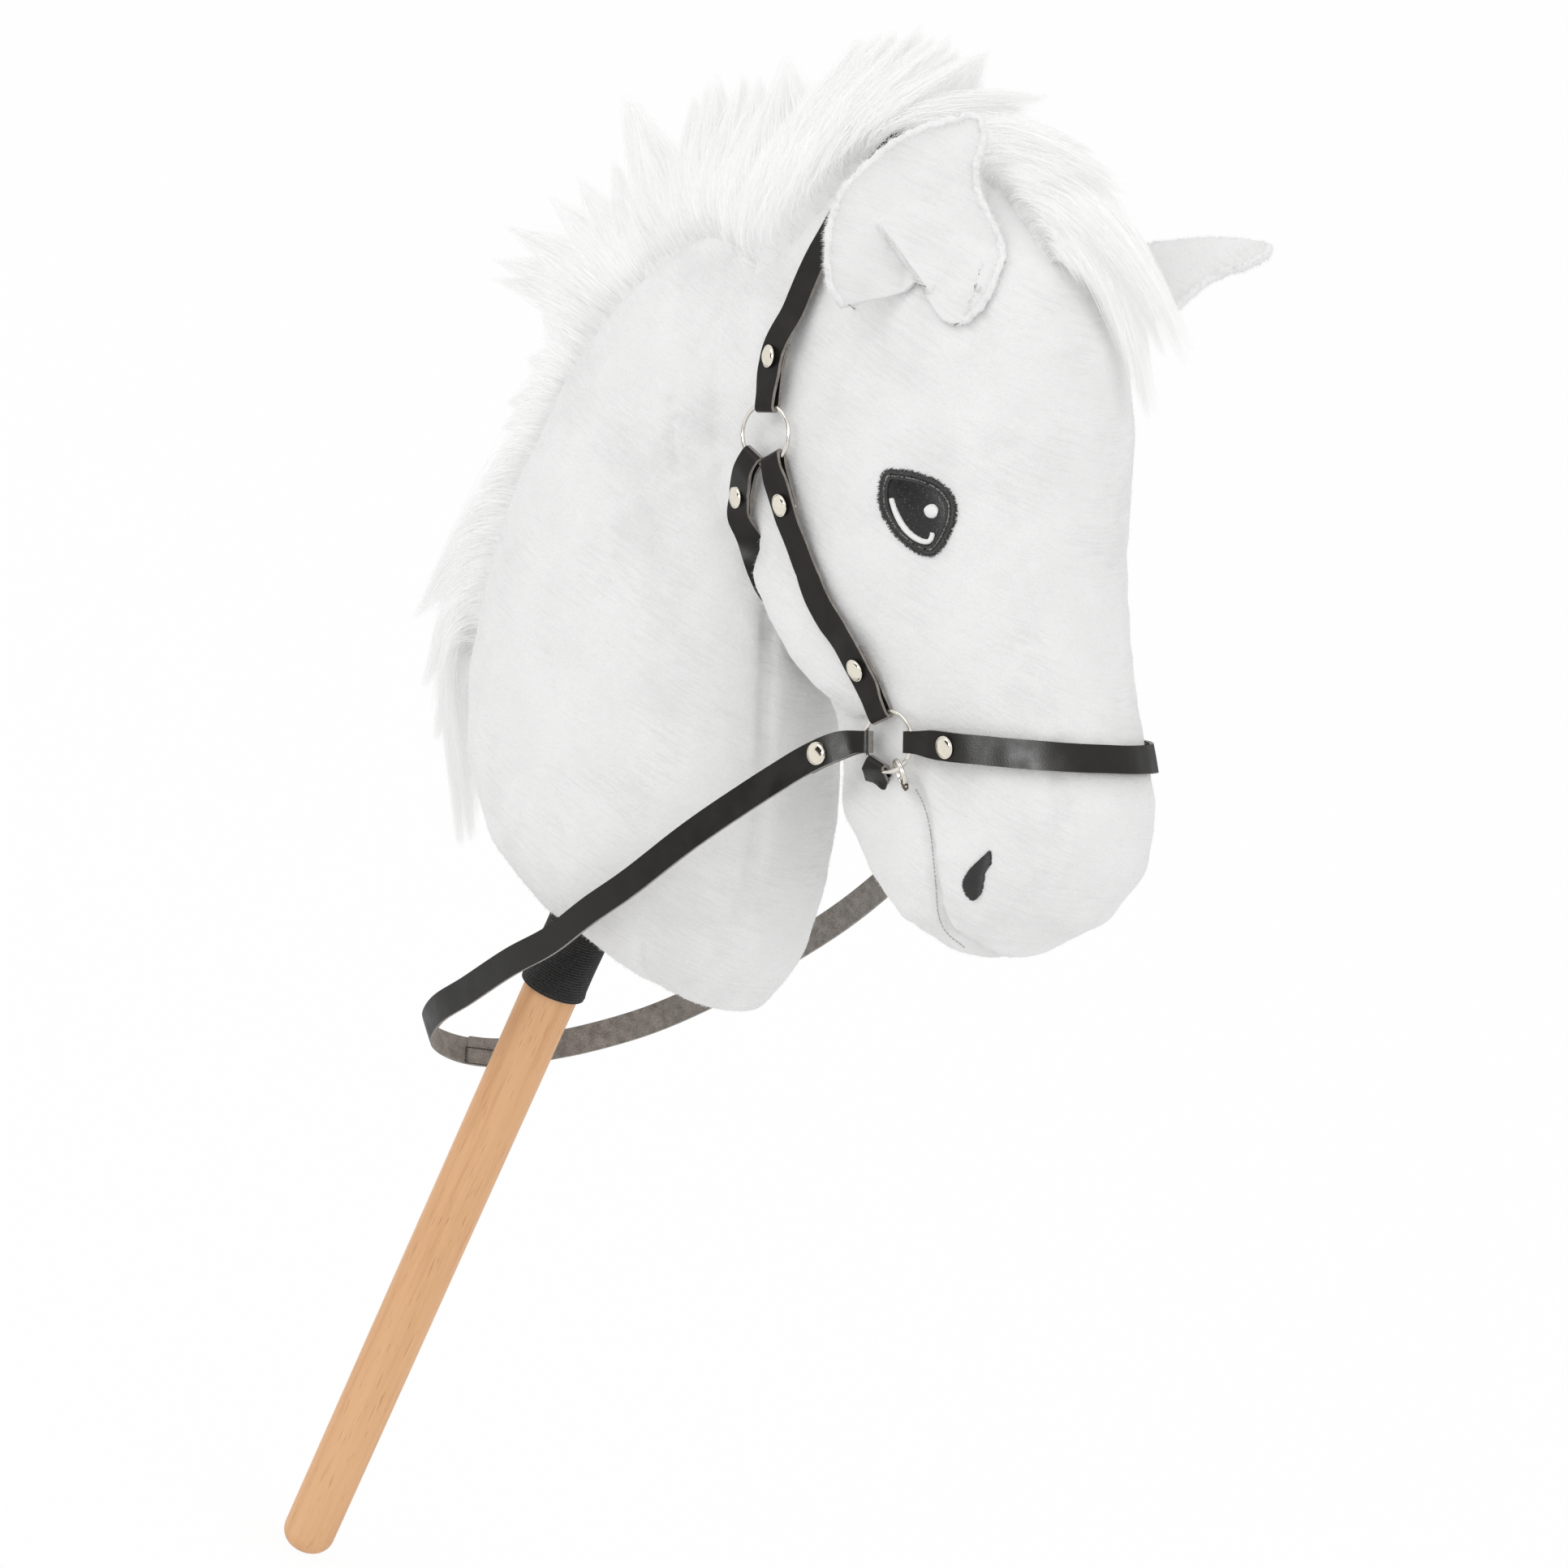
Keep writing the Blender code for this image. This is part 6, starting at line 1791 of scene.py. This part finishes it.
def stick_profile(length):
    """The dowel's outline, top to bottom: a small chamfer, the shaft and the rounded foot."""
    profile = [(0.0, length), (STICK_RADIUS - CHAMFER, length), (STICK_RADIUS, length - CHAMFER)]
    for step in range(1, SHAFT_STEPS + 1):
        share = step / SHAFT_STEPS
        taper = max(0.0, share - TAPER_START) / (1.0 - TAPER_START)
        profile.append((STICK_RADIUS + (FOOT_RADIUS - STICK_RADIUS) * taper,
                        (length - CHAMFER) * (1 - share) + FOOT_ROUNDING * share))
    for step in range(1, FOOT_STEPS + 1):
        angle = math.pi / 2 * step / FOOT_STEPS
        profile.append((FOOT_RADIUS - FOOT_ROUNDING * (1 - math.cos(angle)),
                        FOOT_ROUNDING * (1 - math.sin(angle))))
    return profile + [(0.0, 0.0)]


def add_stick():
    low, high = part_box("stick")
    mesh = turned_mesh("stick_dowel", stick_profile(high[2] - low[2]), 96)
    mesh.transform(Matrix.Translation((0.0, 0.0, low[2])))
    add_piece("stick_dowel", mesh, "stick", (WOOD,), ("stick",))


def ribbed(mesh):
    """Fine ribs round the outside of a turned piece, square to its axis."""
    places = vertex_places(mesh)
    radii = np.linalg.norm(places[:, :2], axis=1)
    outside = smooth_ramp(STICK_RADIUS + 0.0010, STICK_RADIUS + 0.0016, radii)
    wave = np.cos(2 * np.pi * places[:, 2] / CUFF_RIB)
    turn = np.arctan2(places[:, 1], places[:, 0])
    slack = 0.35 * np.sin(turn * 3.0 + places[:, 2] * 160.0)
    places[:, :2] *= (1.0 + outside * CUFF_RIB_DEPTH * (wave + slack) / radii)[:, None]
    put_places(mesh, places)
    return mesh


def add_cuff():
    """The elastic sleeve, cut finely along its length for the ribs."""
    inner = STICK_RADIUS + CUFF_GAP
    outer = inner + CUFF_WALL
    (_, _, low), (wide, _, high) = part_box("neck_cuff")
    upper = low + CUFF_SHELF
    profile = [(wide - CUFF_WALL, high)]
    for height in np.linspace(high, low, CUFF_ROWS + 1):
        share = smooth_ramp(low + CUFF_FLARE[0], low + CUFF_FLARE[1], height)
        hem = CUFF_HEM * bell(height - low - CUFF_HEM_AT, CUFF_HEM_REACH)
        profile.append((outer + (wide - outer) * share + hem, height))
    profile += [(inner, low), (inner, upper - CUFF_SHELF_SLOPE), (wide - CUFF_WALL, upper),
                (wide - CUFF_WALL, high)]
    mesh = ribbed(turned_mesh("neck_cuff_ribbed", profile, 120))
    add_piece("neck_cuff_ribbed", mesh, "head", (ELASTIC,), ("neck_cuff",))


def add_socket():
    for node in ("socket_tube", "socket_cap"):
        mesh = with_modifiers(node_mesh(node), rounded_edges(SOCKET_ROUNDING, 3, 40.0))
        add_piece(node + "_moulded", finished(mesh, 35), "head", (PLASTIC,), (node,))


# The box stitch on the rein's lap: its corners in the photograph's view, millimetres
LAP_CORNERS = ((-36.8, -25.2), (-17.0, -27.6), (-18.0, -34.0), (-37.2, -31.6))
LAP_PITCH = 1.25
LAP_STITCH = 1.025
LAP_STEPS = ((0.0, -0.2, 0.00010), (0.15, 0.2, 0.00024), (0.5, 0.3, 0.00026), (0.85, 0.2, 0.00024),
             (1.0, -0.2, 0.00010))


def add_lap_stitch():
    """Dark stitches round the lap where the rein's two halves are sewn together."""
    tree = tree_of(bpy.data.objects["rein"].data)
    lines = []
    normals = []
    for place, way in spaced([Vector(corner) for corner in LAP_CORNERS], LAP_PITCH):
        hits = [seen_at(place + way * (share * LAP_STITCH), -1.0, tree) for share, _, _ in LAP_STEPS]
        if all(hit for hit, _ in hits):
            lines.append([hit + normal * (rise * MM)
                          for (hit, normal), (_, rise, _) in zip(hits, LAP_STEPS)])
            normals.append([normal for _, normal in hits])
    radii = [radius for _, _, radius in LAP_STEPS]
    tube_piece("rein_lap_stitch", lines, radii, normals, BLACK_THREAD, body="rein")


add_stick()
add_cuff()
add_socket()
add_lap_stitch()


# Camera, light and floor


def add_camera():
    data = bpy.data.cameras.new("photo_camera")
    data.sensor_width = SENSOR_WIDTH
    data.lens = SENSOR_WIDTH * CAMERA_DISTANCE / FRAME_WIDTH
    data.clip_start = 0.1
    data.clip_end = 60.0
    camera = new_object("photo_camera", data)
    turn = Matrix((VIEW_RIGHT, VIEW_UP, VIEW_BACK)).transposed().to_4x4()
    camera.matrix_world = Matrix.Translation(CAMERA_PLACE) @ turn
    bpy.context.scene.camera = camera


def aimed(obj, place, way):
    """Sets an object at a place, with its face looking in a direction."""
    obj.location = place
    obj.rotation_mode = "QUATERNION"
    obj.rotation_quaternion = way.to_track_quat("-Z", "Y")


def add_lamp(name, reach, aim, size, power):
    data = bpy.data.lights.new(name, "AREA")
    data.shape = "DISK"
    data.size = size
    data.energy = power
    lamp = new_object(name, data)
    aimed(lamp, aim + reach, -reach)
    return lamp


# Dark cards that only reflections see, so that bright metal has something dark to show: the way
# to each in the head frame, and its side
DARK_CARDS = (((-0.20, -0.95, 0.10), 1.8), ((0.95, -0.20, -0.20), 0.9), ((-0.643, 0.766, 0.25), 3.0))
CARD_DISTANCE = 2.5
STUDIO_MIDDLE = (0.12, 0.0, 0.18)
CARD_BLACK = (0.03, 0.03, 0.03, 1.0)
FLOOR_REACH = 9.0
FLOOR_GREY = (0.93, 0.93, 0.93, 1.0)
FLOOR_WHITENESS = 0.95
WHITE = (1.0, 1.0, 1.0, 1.0)
WORLD_LIGHT = 0.86


def square(name, half, material):
    """A flat stage square about its own middle."""
    corners = np.array([(-half, -half, 0.0), (half, -half, 0.0), (half, half, 0.0), (-half, half, 0.0)])
    mesh = mesh_of(name, corners, np.arange(4))
    mesh.materials.append(material)
    obj = new_object(name, mesh)
    return obj


def add_dark_card(number, middle, way, side):
    black = Finish(f"card_black_{number}", Base_Color=CARD_BLACK, Roughness=1.0, Specular_IOR_Level=0.0)
    card = square(f"dark_card_{number}", side / 2, black.material)
    aimed(card, middle + head_way(*way) * CARD_DISTANCE, head_way(*way))
    for kind in ("camera", "diffuse", "transmission", "shadow"):
        setattr(card, f"visible_{kind}", False)


def white_to_camera(tree, lit, white, strength, output):
    """Shows the camera, gloss and glass plain white in place of a lit shader."""
    rays = tree.nodes.new("ShaderNodeLightPath").outputs
    seen = tree.maths("MAXIMUM", rays["Is Camera Ray"], rays["Is Glossy Ray"])
    seen = tree.maths("MAXIMUM", seen, rays["Is Transmission Ray"])
    tree.shaders_mixed(tree.maths("MULTIPLY", seen, strength), lit.outputs[0], white.outputs[0], output)


def add_floor():
    made = Finish("studio_white")
    made.nodes.remove(made.shader)
    diffuse = made.nodes.new("ShaderNodeBsdfDiffuse")
    set_inputs(diffuse, {"Color": FLOOR_GREY})
    glow = made.nodes.new("ShaderNodeEmission")
    white_to_camera(made, diffuse, glow, FLOOR_WHITENESS, "Material Output")
    square("floor", FLOOR_REACH, made.material)


def add_world():
    world = bpy.data.worlds.new("studio")
    bpy.context.scene.world = world
    made = NodeTree(world)
    soft = made.nodes["Background"]
    set_inputs(soft, {"Color": WHITE, "Strength": WORLD_LIGHT})
    white = made.nodes.new("ShaderNodeBackground")
    set_inputs(white, {"Color": WHITE})
    white_to_camera(made, soft, white, 1.0, "World Output")


def add_studio():
    add_camera()
    middle = head_point(*STUDIO_MIDDLE)
    add_lamp("key_lamp", VIEW_BACK * 1.2 - VIEW_RIGHT * 1.1 + VIEW_UP * 1.5, middle, size=1.4, power=7.8)
    add_lamp("fill_lamp", VIEW_BACK * 1.4 + VIEW_RIGHT * 1.5 + VIEW_UP * 0.3, middle, size=1.8, power=5.0)
    shine = add_lamp("shine_lamp", head_way(0.42, -0.90, 0.12) * 1.6, middle, size=0.35, power=34.0)
    shine.visible_diffuse = False
    for number, (way, side) in enumerate(DARK_CARDS):
        add_dark_card(number + 1, middle, way, side)
    add_world()
    add_floor()
    bpy.context.scene.view_settings.view_transform = "Standard"


add_studio()
